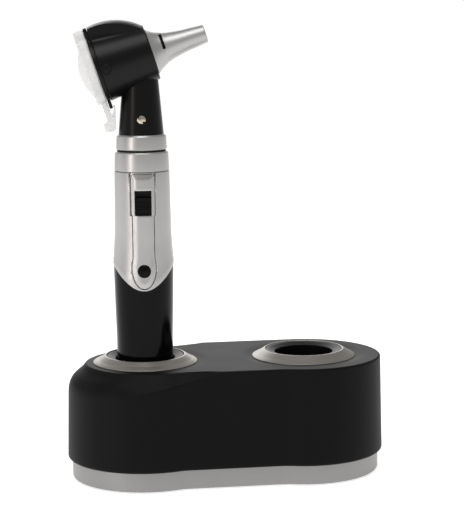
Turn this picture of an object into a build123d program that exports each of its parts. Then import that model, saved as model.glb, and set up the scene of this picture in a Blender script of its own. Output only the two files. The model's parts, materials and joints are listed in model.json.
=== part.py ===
"""Otoscope standing in the left well of its two-well desk charger.

Frame: +Z up, origin on the standing surface midway between the two wells, +X towards the empty well.
All sizes are in millimetres. Heights named *_z are above the standing surface. Heights inside the
otoscope are measured up from its foot, and sections of the head are measured along its optical axis.
"""

import os
from math import asin, cos, radians, sin, sqrt

from build123d import *

os.makedirs("parts", exist_ok=True)

# ---- Clearances ----
running_gap = 0.05          # radial, shaft in bearing
slide_gap = 0.2             # flat guide faces
free_gap = 0.3              # curved faces on different moving bodies
fit_gap = 0.1               # pieces assembled into each other

# ---- Charger base: outline ----
well_spacing = 80.5
lobe_radius = 39.6          # at the shell's lower edge
lobe_draft = 0.8            # how much narrower each lobe is at the top
base_height = 57.6          # trim band and shell together, without the feet
trim_height = 9.8
trim_inset = 2.2            # trim band inside the shell's edge
waist_depth = 2.8           # hollow of the front between the lobes
wall = 2.6
trim_wall = 2.5
foot_proud = 0.6
foot_radius = 5.0
foot_thickness = 1.6
shoulder_drop = 13.3        # height of the sloping shoulder round the left lobe
shoulder_width = 7.8        # how far that shoulder draws in
shoulder_collar = 1.3       # height of the upright collar above the shoulder
plate_thickness = 2.6
plate_step = 1.2            # rebate in the trim band that holds the plate

# ---- Charger base: wells ----
ring_width = 6.7
ring_seat = 4.55            # liner flange, out from the well's wall to the ring
ring_rise = 3.7
ring_lip = 0.5
liner_flange_rise = 3.3
well_clearance = 0.75       # well round the handle's tube
liner_wall = 1.65
liner_floor = 2.0
liner_floor_z = 13.8        # top face of the liner's floor
funnel_drop = 1.2
funnel_width = 3.2

# ---- Charger base: electrics ----
board_thickness = 1.6
board_lift = 2.0
pin_radius = 1.2
pin_collar_radius = 1.9
pin_collar_height = 1.0
pin_travel = 1.2
pin_stub_radius = 0.6
pin_stub_length = 0.8
pin_tip_height = 0.4
pin_spring_rest = 1.15      # height left for the spring under a pressed pin
pin_carrier_length = 18.0
pin_carrier_width = 9.0
pin_proud = 1.45
floor_relief = 0.3          # the well is wider round the charging pins
floor_relief_height = 1.8
ring_pin_offset = 8.0
pin_spring_wire = 0.28
pin_spring_turns = 4
board_depth = 34.0
board_margin = 8.0
pillar_radius = 2.0
pillar_spacing_x = 36.0
pillar_spacing_y = 24.0
inlet_width = 10.0
inlet_height = 11.0
inlet_depth = 13.0
inlet_nose_radius = 4.6
inlet_bore_radius = 2.9
inlet_pin_radius = 1.0
inlet_stem = 5.0            # foot of the inlet, down to the board
inlet_recess = 1.6          # its face, inside the shell's lower edge
inlet_back = 2.0
post_radius = 3.4
post_offset = 27.0          # screw posts, out from each well's axis
post_angle = 45
foot_angle = 72
screw_radius = 1.5
screw_head_radius = 2.9
screw_head_depth = 1.7
screw_length = 12.0
screw_slot_width = 0.6

# ---- Handle ----
tube_radius = 14.0
tube_flare = 1.0            # how much the tube widens towards the grip
tube_straight = 52.8        # height of the straight lower part
tube_flare_top = 95.3
tube_top = 140.5
tube_wall = 1.5
upper_wall = 2.6
bore_step = 81.5
seat_depth_low = 0.1        # seat under the sleeve, in from the tube's skin, at its low end
seat_depth_high = 1.4
grip_low = 82.2             # lowest point of the sleeve's curved lower edge
grip_rise = 11.9            # how much higher that edge is at the sides
sleeve_over = 1.1           # sleeve's widest radius, over the tube's straight radius
sleeve_bulge = 94.8         # height of that widest place
strip_half_width = 5.0
strip_bulb = 5.7
strip_low = 83.3
strip_high = 139.7
strip_bulb_height = 94.0
strip_neck = 5.0            # height over which the strip widens into its round end
strip_depth = 0.5
strip_proud = 0.45
inlay_radius = 3.3
inlay_height = 92.2
window_width = 8.3
window_height = 12.3
window_middle = 125.6
switch_travel = 2.5
thumb_height = 4.2
thumb_proud = 1.0           # front of the thumb pad, out from the tube's skin
shutter_depth = 2.4         # front of the shutter, in from the tube's skin
shutter_thickness = 1.0
shutter_overlap = 0.3
wiper_width = 2.4
wiper_height = 5.0
rib_count = 5
rib_width = 0.4
rib_depth = 0.35
chassis_depth = 5.4         # flat front of the chassis, in from the tube's skin
control_thickness = 0.8
control_width = 11.0
control_height = 24.0
control_middle = 123.5
cell_length = 63.0
cell_bevel = 0.6
cell_cap_radius = 3.0
cell_cap_height = 1.0
disc_thickness = 1.5
tail_spring_wire = 1.0
tail_spring_radius = 6.0
tail_spring_turns = 4
cap_flange_height = 4.0
cap_height = 10.0
cap_bevel = 0.8
cap_recess_margin = 3.0
cap_recess_depth = 1.5
contact_thickness = 0.8
contact_radius = 3.0
contact_stem_radius = 1.0
contact_ring_half = 1.4
rod_radius = 1.5

# ---- Coupling between handle and head ----
cap_ring_low = 140.7
cap_ring_high = 150.1
cap_ring_inset = 0.47       # rings of the coupling, in from the tube's skin
cap_ring_taper = 0.38
washer_inset = 1.6
washer_high = 150.95
stud_radius = 8.0
stud_top = 156.0
stud_room = 0.6             # free height over the stud
sleeve_wall = 1.0           # insulating sleeve round the lead rod
lug_radius = 9.2
lug_low = 153.3
lug_height = 2.0
lug_count = 3
lug_half_angle = 12
twist_angle = 40
collar_low = 151.0
collar_high = 158.4
collar_inset = 1.47
collar_taper = 0.38
collar_lip = 1.7
chamfer_size = 0.7

# ---- Neck and head ----
neck_radius = 11.1
neck_taper = 0.085          # radius lost for each millimetre of height
neck_high = 190.0
core_radius = 6.6
core_bore = 4.6
core_high = 178.0
screw_height = 165.9
neck_screw_radius = 2.35
neck_screw_slot = 0.75
neck_screw_slot_depth = 0.8
head_height = 196.6         # where the optical axis crosses the handle's axis
optical_tilt = 18.0         # optical axis above the horizontal
otoscope_turn = -4.0        # turn of the otoscope in its well, about +Z
head_rear = -20.2
head_front = 6.0
barrel_front_radius = 13.8
crest_half_width = 7.4
crest_arc_radius = 30.5
crest_arc_section = -15.0
crest_over = 4.2            # top of the crest, over the pivot of the rear window
crest_front = 5.0
crest_bevel = 11.3
crest_fillet = 2.4
cavity_depth = 6.0
spigot_radius = 8.0
spigot_bore = 6.6
spigot_front = 10.2

# ---- Rear window ----
flange_rear = -22.2
flange_front = -20.6
flange_over = 0.4           # flange, out from the barrel
flange_spacer_inset = 1.6
flange_lip_half_width = 4.5
flange_lip_over = 2.9       # lip that the tab hooks on, out from the flange
carrier_rear = -27.4
carrier_front = -22.4
carrier_rim = 4.1           # frame round the lens
lens_radius = 12.3
lens_seat = -24.0
lens_rim = 1.0
lens_sagitta = 3.7
tab_half_width = 3.8
tab_thickness = 2.8
tab_reach = 11.0            # length of the tab below the flange's lip
tab_fork = 2.4
hook_lift = 1.0
pivot_inset = 1.2           # pivot, out from the carrier's round edge
pivot_radius = 1.5
pivot_head_radius = 2.2
pivot_head_depth = 0.9
pivot_front = -16.0

# ---- Port and nose ----
port_section = -17.4
port_height = -0.4
port_radius = 2.7
port_recess_radius = 2.0
port_recess_depth = 2.4
port_hole_radius = 0.9
nose_rear = 6.3
nose_tip = 34.0
nose_rear_radius = 11.2
nose_profile = (            # section and radius of the outside, from rear to tip
    (7.2, 10.5),
    (9.0, 9.4),
    (11.0, 8.2),
    (14.0, 7.0),
    (17.3, 6.35),
    (22.3, 5.45),
    (28.0, 4.95),
)
nose_tip_radius = 4.4
nose_tip_wall = 0.8
nose_waist = 22.3           # section where the bore narrows
nose_waist_bore = 4.25
nose_mid = 14.0             # section where the light ring starts
nose_mid_bore = 5.9
nose_step_bore = 6.9
nose_slot_section = 12.4
nose_slot_width = 1.5
nose_slot_sweep = 86
slot_angle = 140            # middle of the first slot, round the optical axis from the far side
sight_radius = 2.0
sight_length = 6.0
fibre_gap = 0.3
fibre_wall = 0.45
guide_radius = 1.0
funnel_mid_bore = 4.4       # bore of the inner cone, at the light ring and at its rear
funnel_rear_bore = 5.0

# ---- Lamp ----
lamp_base_low = 160.0
lamp_base_high = 171.0
lamp_base_radius = 3.2
lamp_flange_height = 2.0
lamp_contact_radius = 1.6
lamp_bulb_radius = 2.6
lamp_lens_radius = 1.1
lamp_lens_height = 2.4
lamp_top = 180.2

# ---- Values that follow ----
well_x = {"left": -well_spacing / 2, "right": well_spacing / 2}
base_top_z = foot_proud + base_height
trim_top_z = foot_proud + trim_height
plate_top_z = foot_proud + plate_thickness
board_z = plate_top_z + board_lift
board_top_z = board_z + board_thickness
liner_bottom_z = liner_floor_z - liner_floor
well_radius = tube_radius + well_clearance
liner_outer_radius = well_radius + liner_wall
ring_inner_radius = well_radius + ring_seat
ring_outer_radius = ring_inner_radius + ring_width
pin_collar_top_z = liner_bottom_z - running_gap
pin_collar_low_z = pin_collar_top_z - pin_collar_height
pin_bore_low_z = pin_collar_low_z - pin_stub_length - pin_travel - pin_spring_rest
inlet_low_z = trim_top_z + fit_gap
inlet_z = inlet_low_z + inlet_height / 2
foot_z = liner_floor_z      # height of the otoscope's foot when it is docked
axis_x = well_x["left"]
cell_bore = tube_radius - tube_wall
cell_radius = cell_bore - slide_gap
upper_bore = tube_radius - upper_wall
grip_seat_low = tube_radius - seat_depth_low
grip_seat_high = tube_radius - seat_depth_high
thumb_front = tube_radius + thumb_proud
shutter_front = tube_radius - shutter_depth
chassis_front = tube_radius - chassis_depth
board_front = chassis_front + control_thickness
cap_recess_radius = tube_radius - cap_recess_margin
cap_ring_radius = tube_radius - cap_ring_inset
washer_radius = tube_radius - washer_inset
collar_radius = tube_radius - collar_inset
carrier_radius = lens_radius + carrier_rim
barrel_rear_radius = carrier_radius - fit_gap
cavity_radius = lens_radius + free_gap
pivot_height = carrier_radius + pivot_inset
crest_top = pivot_height + crest_over
carrier_top = crest_top - 0.8
flange_top = crest_top - 0.5
flange_radius = barrel_rear_radius + flange_over
flange_lip = -(flange_radius + flange_lip_over)
lens_rim_radius = lens_radius - lens_rim
contact_ring_inner = ring_pin_offset - contact_ring_half
contact_ring_outer = ring_pin_offset + contact_ring_half

post_spots = []
foot_spots = []
for side, x in well_x.items():
    outward = 0 if side == "right" else 180
    for turn in (1, -1):
        angle = radians(outward + turn * post_angle)
        post_spots.append((x + post_offset * cos(angle), post_offset * sin(angle)))
        angle = radians(outward + turn * foot_angle)
        foot_spots.append((x + post_offset * cos(angle), post_offset * sin(angle)))


def up(height):
    """Height above the standing surface of a place on the docked otoscope."""
    return foot_z + height


# ---- Placing planes of the otoscope ----
handle_turn = Plane(origin=(axis_x, 0, 0)).rotated((0, 0, otoscope_turn))
handle_side = Plane(origin=(axis_x, 0, 0), x_dir=handle_turn.x_dir, z_dir=-handle_turn.y_dir)
optical_dir = handle_turn.x_dir * cos(radians(optical_tilt)) + Vector(0, 0, 1) * sin(radians(optical_tilt))
optical_up = Vector(0, 0, 1) * cos(radians(optical_tilt)) - handle_turn.x_dir * sin(radians(optical_tilt))
head_centre = Vector(axis_x, 0, up(head_height))
optical_side = Plane(origin=head_centre, x_dir=optical_dir, z_dir=-handle_turn.y_dir)
optical_axis = Axis(head_centre, optical_dir)
well_axis = Axis((axis_x, 0, 0), (0, 0, 1))


def section_plane(section):
    """Plane across the optical axis; its local Y points up and its Z points to the nose."""
    return Plane(origin=head_centre + optical_dir * section, x_dir=handle_turn.y_dir, z_dir=optical_dir)


def handle_plane(height):
    """Horizontal plane at a height of the otoscope, turned with it."""
    return Plane(origin=(axis_x, 0, up(height)), x_dir=handle_turn.x_dir, z_dir=(0, 0, 1))


def front_plane(depth):
    """Upright plane in front of the handle's axis, facing forwards; local Y is height."""
    origin = Vector(axis_x, 0, 0) - handle_turn.y_dir * depth
    return Plane(origin=origin, x_dir=handle_turn.x_dir, z_dir=-handle_turn.y_dir)


def turned(points, axis_plane, about):
    """Solid of revolution about an axis from points (radius or section, height or radius)."""
    with BuildPart() as solid:
        with BuildSketch(axis_plane):
            with BuildLine():
                Polyline(*points, close=True)
            make_face()
        revolve(axis=about)
    return solid.part


def on_handle(*points):
    """Revolve points (radius, height above the foot) about the handle's axis."""
    return turned([(radius, up(height)) for radius, height in points], handle_side, well_axis)


def on_optics(*points):
    """Revolve points (section, radius) about the optical axis."""
    return turned(points, optical_side, optical_axis)


def base_outline(left_radius, right_radius, hollow, plane):
    """Plan of the base: two lobes, a straight back and a shallow hollow in the front."""
    left_x = well_x["left"]
    right_x = well_x["right"]
    lean = asin((right_radius - left_radius) / well_spacing)
    back_left = (left_x - left_radius * sin(lean), left_radius * cos(lean))
    back_right = (right_x - right_radius * sin(lean), right_radius * cos(lean))
    leave = radians(17)
    arrive = radians(12)
    front_left = (left_x + left_radius * sin(leave), -left_radius * cos(leave))
    front_right = (right_x - right_radius * sin(arrive), -right_radius * cos(arrive))
    middle = (0, hollow - (left_radius + right_radius) / 2)
    with BuildSketch(plane) as outline:
        with BuildLine():
            Line(back_left, back_right)
            ThreePointArc(back_right, (right_x + right_radius, 0), front_right)
            Spline(
                front_right,
                middle,
                front_left,
                tangents=((-cos(arrive), sin(arrive)), (-cos(leave), -sin(leave))),
            )
            ThreePointArc(front_left, (left_x - left_radius, 0), back_left)
        make_face()
    return outline.sketch


def base_layers(inset, low_z, high_z):
    """Shell sections from low to high, as (height, left radius, right radius), drawn in by inset."""
    top_radius = lobe_radius - lobe_draft
    shoulder = (
        (0.0, 0.0),
        (0.38, 0.14),
        (0.60, 0.35),
        (0.75, 0.62),
        (1.0 - shoulder_collar / shoulder_drop, 0.85),
        (1.0, 1.0),
    )
    layers = [(low_z, lobe_radius - inset, lobe_radius - inset)]
    for share, drawn in shoulder:
        z = base_top_z - shoulder_drop * (1 - share)
        left = top_radius - shoulder_width * drawn
        layers.append((min(z, high_z), left - inset, top_radius - inset))
        if z >= high_z:
            break
    return layers


# ---------------------------------------------------------------- charger base
with BuildPart() as base_shell:
    for z, left, right in base_layers(0, trim_top_z, base_top_z):
        add(base_outline(left, right, waist_depth, Plane.XY.offset(z)))
    loft(ruled=True)
    inside_top_z = base_top_z - wall
    for z, left, right in base_layers(wall, trim_top_z, inside_top_z):
        add(base_outline(left, right, waist_depth, Plane.XY.offset(z)))
    loft(ruled=True, mode=Mode.SUBTRACT)
    for x in well_x.values():
        with Locations((x, 0, base_top_z - wall / 2)):
            Cylinder(liner_outer_radius + fit_gap, wall * 2, mode=Mode.SUBTRACT)
    with BuildSketch(Plane.XY.offset(plate_top_z)):
        with Locations(*post_spots):
            Circle(post_radius)
    extrude(amount=inside_top_z - plate_top_z)
    with BuildSketch(Plane.XY.offset(plate_top_z)):
        with Locations(*post_spots):
            Circle(screw_radius)
    extrude(amount=screw_length, mode=Mode.SUBTRACT)
    with BuildSketch(Plane.XZ.offset(-lobe_radius - 5)):
        with Locations((0, inlet_z)):
            Circle(inlet_nose_radius + fit_gap)
    extrude(amount=5 + 2 * wall, mode=Mode.SUBTRACT)
base_shell.part.label = "base_shell"
export_step(base_shell.part, "parts/base_shell.step")

trim_radius = lobe_radius - trim_inset
with BuildPart() as trim_band:
    add(base_outline(trim_radius, trim_radius, waist_depth, Plane.XY.offset(foot_proud)))
    extrude(amount=trim_height)
    inner = trim_radius - trim_wall
    add(base_outline(inner, inner, waist_depth, Plane.XY.offset(foot_proud)))
    extrude(amount=trim_height, mode=Mode.SUBTRACT)
    rebate = inner + plate_step
    add(base_outline(rebate, rebate, waist_depth, Plane.XY.offset(foot_proud)))
    extrude(amount=plate_thickness, mode=Mode.SUBTRACT)
trim_band.part.label = "trim_band"
export_step(trim_band.part, "parts/trim_band.step")

with BuildPart() as base_plate:
    plate_radius = trim_radius - trim_wall + plate_step - fit_gap
    add(base_outline(plate_radius, plate_radius, waist_depth, Plane.XY.offset(foot_proud)))
    extrude(amount=plate_thickness)
    with BuildSketch(Plane.XY.offset(foot_proud)):
        with Locations(*foot_spots):
            Circle(foot_radius)
    extrude(amount=foot_thickness - foot_proud, mode=Mode.SUBTRACT)
    with BuildSketch(Plane.XY.offset(foot_proud)):
        with Locations(*post_spots):
            Circle(screw_radius)
    extrude(amount=plate_thickness, mode=Mode.SUBTRACT)
    with BuildSketch(Plane.XY.offset(foot_proud)):
        with Locations(*post_spots):
            Circle(screw_head_radius)
    extrude(amount=screw_head_depth, mode=Mode.SUBTRACT)
    with BuildSketch(Plane.XY.offset(plate_top_z)):
        with GridLocations(pillar_spacing_x, pillar_spacing_y, 2, 2):
            Circle(pillar_radius)
    extrude(amount=board_lift)
base_plate.part.label = "base_plate"
export_step(base_plate.part, "parts/base_plate.step")

with BuildPart() as rubber_feet:
    with BuildSketch():
        with Locations(*foot_spots):
            Circle(foot_radius)
    extrude(amount=foot_thickness)
    chamfer(rubber_feet.edges().group_by(Axis.Z)[0], foot_proud / 2)
rubber_feet.part.label = "rubber_feet"
export_step(rubber_feet.part, "parts/rubber_feet.step")

with BuildPart() as base_screws:
    with BuildSketch(Plane.XY.offset(foot_proud + screw_head_depth / 2)):
        with Locations(*post_spots):
            Circle(screw_head_radius - fit_gap)
    extrude(amount=screw_head_depth / 2)
    with BuildSketch(Plane.XY.offset(foot_proud + screw_head_depth)):
        with Locations(*post_spots):
            Circle(screw_radius)
    extrude(amount=screw_length - screw_head_depth)
    with BuildSketch(Plane.XY.offset(foot_proud + screw_head_depth / 2)):
        with Locations(*post_spots):
            Rectangle(screw_head_radius * 1.4, screw_slot_width)
            Rectangle(screw_slot_width, screw_head_radius * 1.4)
    extrude(amount=screw_head_depth / 4, mode=Mode.SUBTRACT)
base_screws.part.label = "base_screws"
export_step(base_screws.part, "parts/base_screws.step")

for side, x in well_x.items():
    axis = Axis((x, 0, 0), (0, 0, 1))
    side_plane = Plane(origin=(x, 0, 0), x_dir=(1, 0, 0), z_dir=(0, -1, 0))
    with BuildPart() as well_ring:
        with BuildSketch(side_plane):
            with BuildLine():
                bore = ring_inner_radius + fit_gap
                lip_z = base_top_z + ring_rise
                Line((bore, base_top_z), (ring_outer_radius, base_top_z))
                Line((ring_outer_radius, base_top_z), (ring_outer_radius - fit_gap, base_top_z + ring_lip))
                ThreePointArc(
                    (ring_outer_radius - fit_gap, base_top_z + ring_lip),
                    ((ring_outer_radius + bore) / 2 + free_gap, base_top_z + ring_rise / 2),
                    (bore + ring_lip, lip_z),
                )
                Line((bore + ring_lip, lip_z), (bore, lip_z))
                Line((bore, lip_z), (bore, base_top_z))
            make_face()
        revolve(axis=axis)
    well_ring.part.label = f"well_ring_{side}"
    export_step(well_ring.part, f"parts/well_ring_{side}.step")

    with BuildPart() as well_liner:
        flange_top_z = base_top_z + liner_flange_rise
        with BuildSketch(side_plane):
            with BuildLine():
                Polyline(
                    (0, liner_bottom_z),
                    (liner_outer_radius, liner_bottom_z),
                    (liner_outer_radius, base_top_z),
                    (ring_inner_radius, base_top_z),
                    (ring_inner_radius, flange_top_z),
                    (well_radius + funnel_width, flange_top_z),
                    (well_radius, flange_top_z - funnel_drop),
                    (well_radius, liner_floor_z + floor_relief_height),
                    (well_radius + floor_relief, liner_floor_z + floor_relief_height),
                    (well_radius + floor_relief, liner_floor_z),
                    (0, liner_floor_z),
                    close=True,
                )
            make_face()
        revolve(axis=axis)
        with BuildSketch(Plane.XY.offset(liner_bottom_z)):
            with Locations((x, 0), (x + ring_pin_offset, 0)):
                Circle(pin_radius + running_gap)
        extrude(amount=liner_floor, mode=Mode.SUBTRACT)
    well_liner.part.label = f"well_liner_{side}"
    export_step(well_liner.part, f"parts/well_liner_{side}.step")

    with BuildPart() as pin_carrier:
        with BuildSketch(Plane.XY.offset(board_top_z)):
            with Locations((x + ring_pin_offset / 2, 0)):
                RectangleRounded(pin_carrier_length, pin_carrier_width, pin_collar_radius)
        extrude(amount=liner_bottom_z - board_top_z)
        with BuildSketch(Plane.XY.offset(pin_bore_low_z)):
            with Locations((x, 0), (x + ring_pin_offset, 0)):
                Circle(pin_collar_radius + running_gap)
        extrude(amount=liner_bottom_z - pin_bore_low_z, mode=Mode.SUBTRACT)
    pin_carrier.part.label = f"pin_carrier_{side}"
    export_step(pin_carrier.part, f"parts/pin_carrier_{side}.step")

    for role, offset_x in (("centre", 0), ("ring", ring_pin_offset)):
        pin_x = x + offset_x
        pin_axis = Axis((pin_x, 0, 0), (0, 0, 1))
        pin_plane = Plane(origin=(pin_x, 0, 0), x_dir=(1, 0, 0), z_dir=(0, -1, 0))
        with BuildPart() as charge_pin:
            tip_z = liner_floor_z + pin_proud
            with BuildSketch(pin_plane):
                with BuildLine():
                    Polyline(
                        (0, pin_collar_low_z - pin_stub_length),
                        (pin_stub_radius, pin_collar_low_z - pin_stub_length),
                        (pin_stub_radius, pin_collar_low_z),
                        (pin_collar_radius, pin_collar_low_z),
                        (pin_collar_radius, pin_collar_top_z),
                        (pin_radius, pin_collar_top_z),
                        (pin_radius, tip_z - pin_tip_height),
                        (pin_radius / 2, tip_z),
                        (0, tip_z),
                        close=True,
                    )
                make_face()
            revolve(axis=pin_axis)
        charge_pin.part.label = f"charge_pin_{side}_{role}"
        export_step(charge_pin.part, f"parts/charge_pin_{side}_{role}.step")

        coil_height = pin_collar_low_z - pin_bore_low_z - 2 * pin_spring_wire
        coil_radius = pin_collar_radius - pin_spring_wire - fit_gap
        coil_pitch = coil_height / pin_spring_turns
        with BuildPart() as pin_spring:
            with BuildLine(Plane((pin_x, 0, pin_bore_low_z + pin_spring_wire))):
                coil = Helix(coil_pitch, coil_height, coil_radius)
            with BuildSketch(Plane(origin=coil @ 0, z_dir=coil % 0)):
                Circle(pin_spring_wire / 2)
            sweep(path=coil, is_frenet=True)
        pin_spring.part.label = f"pin_spring_{side}_{role}"
        export_step(pin_spring.part, f"parts/pin_spring_{side}_{role}.step")

board_half_width = well_spacing / 2 + ring_pin_offset + board_margin
with BuildPart() as charger_board:
    with BuildSketch(Plane.XY.offset(board_z)):
        RectangleRounded(2 * board_half_width, board_depth, 3)
        with Locations((0, board_depth / 2 + board_margin / 2)):
            Rectangle(inlet_width + board_margin, board_margin + 4)
    extrude(amount=board_thickness)
charger_board.part.label = "charger_board"
export_step(charger_board.part, "parts/charger_board.step")

with BuildPart() as board_components:
    with BuildSketch(Plane.XY.offset(board_top_z)):
        with Locations((0, -4)):
            RectangleRounded(16, 13, 1.5)
    extrude(amount=11)
    with BuildSketch(Plane.XY.offset(board_top_z)):
        with Locations((-14, 8), (14, 8)):
            Circle(3.1)
    extrude(amount=10)
    with BuildSketch(Plane.XY.offset(board_top_z)):
        with Locations((-15, -8), (15, -8)):
            Rectangle(7, 7)
    extrude(amount=1.4)
board_components.part.label = "board_components"
export_step(board_components.part, "parts/board_components.step")

inlet_face_y = lobe_radius - inlet_recess
with BuildPart() as power_inlet:
    with BuildSketch(Plane.XY.offset(inlet_low_z)):
        with Locations((0, inlet_face_y - wall - inlet_depth / 2)):
            Rectangle(inlet_width, inlet_depth)
    extrude(amount=inlet_height)
    with BuildSketch(Plane.XY.offset(board_top_z)):
        with Locations((0, inlet_face_y - wall - inlet_depth + inlet_stem / 2)):
            Rectangle(inlet_width, inlet_stem)
    extrude(amount=inlet_low_z - board_top_z)
    with BuildSketch(Plane.XZ.offset(-inlet_face_y)):
        with Locations((0, inlet_z)):
            Circle(inlet_nose_radius)
    extrude(amount=wall)
    with BuildSketch(Plane.XZ.offset(-inlet_face_y)):
        with Locations((0, inlet_z)):
            Circle(inlet_bore_radius)
    extrude(amount=inlet_depth - inlet_back, mode=Mode.SUBTRACT)
    with BuildSketch(Plane.XZ.offset(inlet_back - inlet_face_y)):
        with Locations((0, inlet_z)):
            Circle(inlet_pin_radius)
    extrude(amount=inlet_depth - inlet_back)
power_inlet.part.label = "power_inlet"
export_step(power_inlet.part, "parts/power_inlet.step")


# ---------------------------------------------------------------- handle
def grip_region():
    """Solid block of everything above the sleeve's curved lower edge."""
    reach = tube_radius + 6
    high = tube_top + 5
    side_height = grip_low + grip_rise * (reach / (tube_radius + sleeve_over)) ** 2
    with BuildPart() as region:
        with BuildSketch(front_plane(-reach)):
            with BuildLine():
                edge = Bezier(
                    (-reach, up(side_height)),
                    (0, up(2 * grip_low - side_height)),
                    (reach, up(side_height)),
                )
                Line(edge @ 1, (reach, up(high)))
                Line((reach, up(high)), (-reach, up(high)))
                Line((-reach, up(high)), edge @ 0)
            make_face()
        extrude(amount=2 * reach)
    return region.part


def sleeve_skin(over):
    """Points up the sleeve's outside, moved outwards by over."""
    shape = (
        (grip_low - 1, sleeve_over - 0.15),
        (sleeve_bulge, sleeve_over),
        (sleeve_bulge + 2, sleeve_over - 0.08),
        (sleeve_bulge + 5, sleeve_over - 0.40),
        (sleeve_bulge + 10, sleeve_over - 0.72),
        (sleeve_bulge + 17, sleeve_over - 1.0),
        (sleeve_bulge + 32, sleeve_over - 1.2),
        (tube_top - 5, sleeve_over - 1.4),
        (tube_top, -0.5),
    )
    return [(tube_radius + extra + over, height) for height, extra in shape]


def sleeve_ring(inner_over, outer_over):
    """Ring between two skins of the sleeve."""
    return on_handle(*sleeve_skin(inner_over), *reversed(sleeve_skin(outer_over)))


def strip_prism(grow):
    """Upright prism through the front of the grip with the switch strip's outline."""
    half = strip_half_width + grow
    bulb = strip_bulb + grow
    low = strip_low - grow
    high = strip_high + grow
    with BuildPart() as prism:
        with BuildSketch(front_plane(0)):
            with BuildLine():
                right = Spline(
                    (half, up(strip_bulb_height + strip_neck)),
                    (bulb, up(strip_bulb_height)),
                    (0, up(low)),
                    tangents=((0, -1), (-1, 0)),
                )
                left = Spline(
                    (0, up(low)),
                    (-bulb, up(strip_bulb_height)),
                    (-half, up(strip_bulb_height + strip_neck)),
                    tangents=((-1, 0), (0, 1)),
                )
                Line(left @ 1, (-half, up(high)))
                Line((-half, up(high)), (half, up(high)))
                Line((half, up(high)), right @ 0)
            make_face()
        extrude(amount=tube_radius + 6)
    return prism.part


def front_block(width, low, high, near, far):
    """Upright block in front of the handle's axis, between two depths."""
    with BuildPart() as block:
        with BuildSketch(front_plane(near)):
            with Locations((0, up((low + high) / 2))):
                Rectangle(width, high - low)
        extrude(amount=far - near)
    return block.part


window_low = window_middle - window_height / 2
window_high = window_middle + window_height / 2
window_block = front_block(window_width, window_low, window_high, 0, tube_radius + 6)
shutter_half_height = window_height / 2 + switch_travel + shutter_overlap
guide_half_height = shutter_half_height + switch_travel + free_gap
guide_block = front_block(
    window_width + 2 * slide_gap,
    window_middle - guide_half_height,
    window_middle + guide_half_height,
    0,
    tube_radius + 6,
)

with BuildPart() as battery_tube:
    add(on_handle(
        (0, cap_flange_height),
        (tube_radius, cap_flange_height),
        (tube_radius, tube_straight),
        (tube_radius + 0.29, tube_straight + 13),
        (tube_radius + 0.72, tube_straight + 33),
        (tube_radius + tube_flare, tube_flare_top),
        (0, tube_flare_top),
    ))
    add(grip_region(), mode=Mode.SUBTRACT)
    add(on_handle(
        (0, grip_low - 2),
        (grip_seat_low, grip_low - 2),
        (grip_seat_high, tube_top),
        (0, tube_top),
    ))
    add(on_handle(
        (0, 0),
        (cell_bore, 0),
        (cell_bore, bore_step),
        (upper_bore, bore_step),
        (upper_bore, tube_top),
        (0, tube_top),
    ), mode=Mode.SUBTRACT)
    add(guide_block, mode=Mode.SUBTRACT)
battery_tube.part.label = "battery_tube"
export_step(battery_tube.part, "parts/battery_tube.step")

with BuildPart() as grip_sleeve:
    add(sleeve_ring(-tube_radius * 0.3, 0))
    add(grip_region(), mode=Mode.INTERSECT)
    add(on_handle(
        (0, grip_low - 2),
        (grip_seat_low, grip_low - 2),
        (grip_seat_high, tube_top),
        (0, tube_top),
    ), mode=Mode.SUBTRACT)
    strip_pocket = sleeve_ring(-strip_depth, 3) & strip_prism(0.2)
    add(strip_pocket, mode=Mode.SUBTRACT)
    add(window_block, mode=Mode.SUBTRACT)
grip_sleeve.part.label = "grip_sleeve"
export_step(grip_sleeve.part, "parts/grip_sleeve.step")

inlay_back = tube_radius + sleeve_over - strip_depth + 0.02
with BuildPart() as switch_strip:
    add(sleeve_ring(-strip_depth, strip_proud) & strip_prism(0))
    add(window_block, mode=Mode.SUBTRACT)
    with BuildSketch(front_plane(inlay_back)):
        with Locations((0, up(inlay_height))):
            Circle(inlay_radius + fit_gap)
    extrude(amount=6, mode=Mode.SUBTRACT)
switch_strip.part.label = "switch_strip"
export_step(switch_strip.part, "parts/switch_strip.step")

with BuildPart() as strip_inlay:
    with BuildSketch(front_plane(inlay_back)):
        with Locations((0, up(inlay_height))):
            Circle(inlay_radius)
    extrude(amount=6)
    add(sleeve_ring(-3, strip_proud + 0.1), mode=Mode.INTERSECT)
strip_inlay.part.label = "strip_inlay"
export_step(strip_inlay.part, "parts/strip_inlay.step")

thumb_low = window_middle - thumb_height / 2
thumb_high = window_middle + thumb_height / 2
with BuildPart() as switch_slider:
    add(front_block(
        window_width,
        window_middle - shutter_half_height,
        window_middle + shutter_half_height,
        shutter_front - shutter_thickness,
        shutter_front,
    ))
    add(front_block(window_width - 2 * free_gap, thumb_low, thumb_high, shutter_front, thumb_front))
    with BuildSketch(front_plane(thumb_front)):
        with Locations((0, up(window_middle))):
            with GridLocations(0, thumb_height / rib_count, 1, rib_count):
                Rectangle(window_width, rib_width)
    extrude(amount=-rib_depth, mode=Mode.SUBTRACT)
switch_slider.part.label = "switch_slider"
export_step(switch_slider.part, "parts/switch_slider.step")

with BuildPart() as switch_wiper:
    wiper_low = window_middle - wiper_height / 2
    wiper_high = wiper_low + wiper_height
    wiper_front = shutter_front - shutter_thickness
    add(front_block(wiper_width, wiper_low, wiper_high, board_front + running_gap, wiper_front))
switch_wiper.part.label = "switch_wiper"
export_step(switch_wiper.part, "parts/switch_wiper.step")

with BuildPart() as control_board:
    control_low = control_middle - control_height / 2
    add(front_block(control_width, control_low, control_low + control_height, chassis_front, board_front))
control_board.part.label = "control_board"
export_step(control_board.part, "parts/control_board.step")

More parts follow.
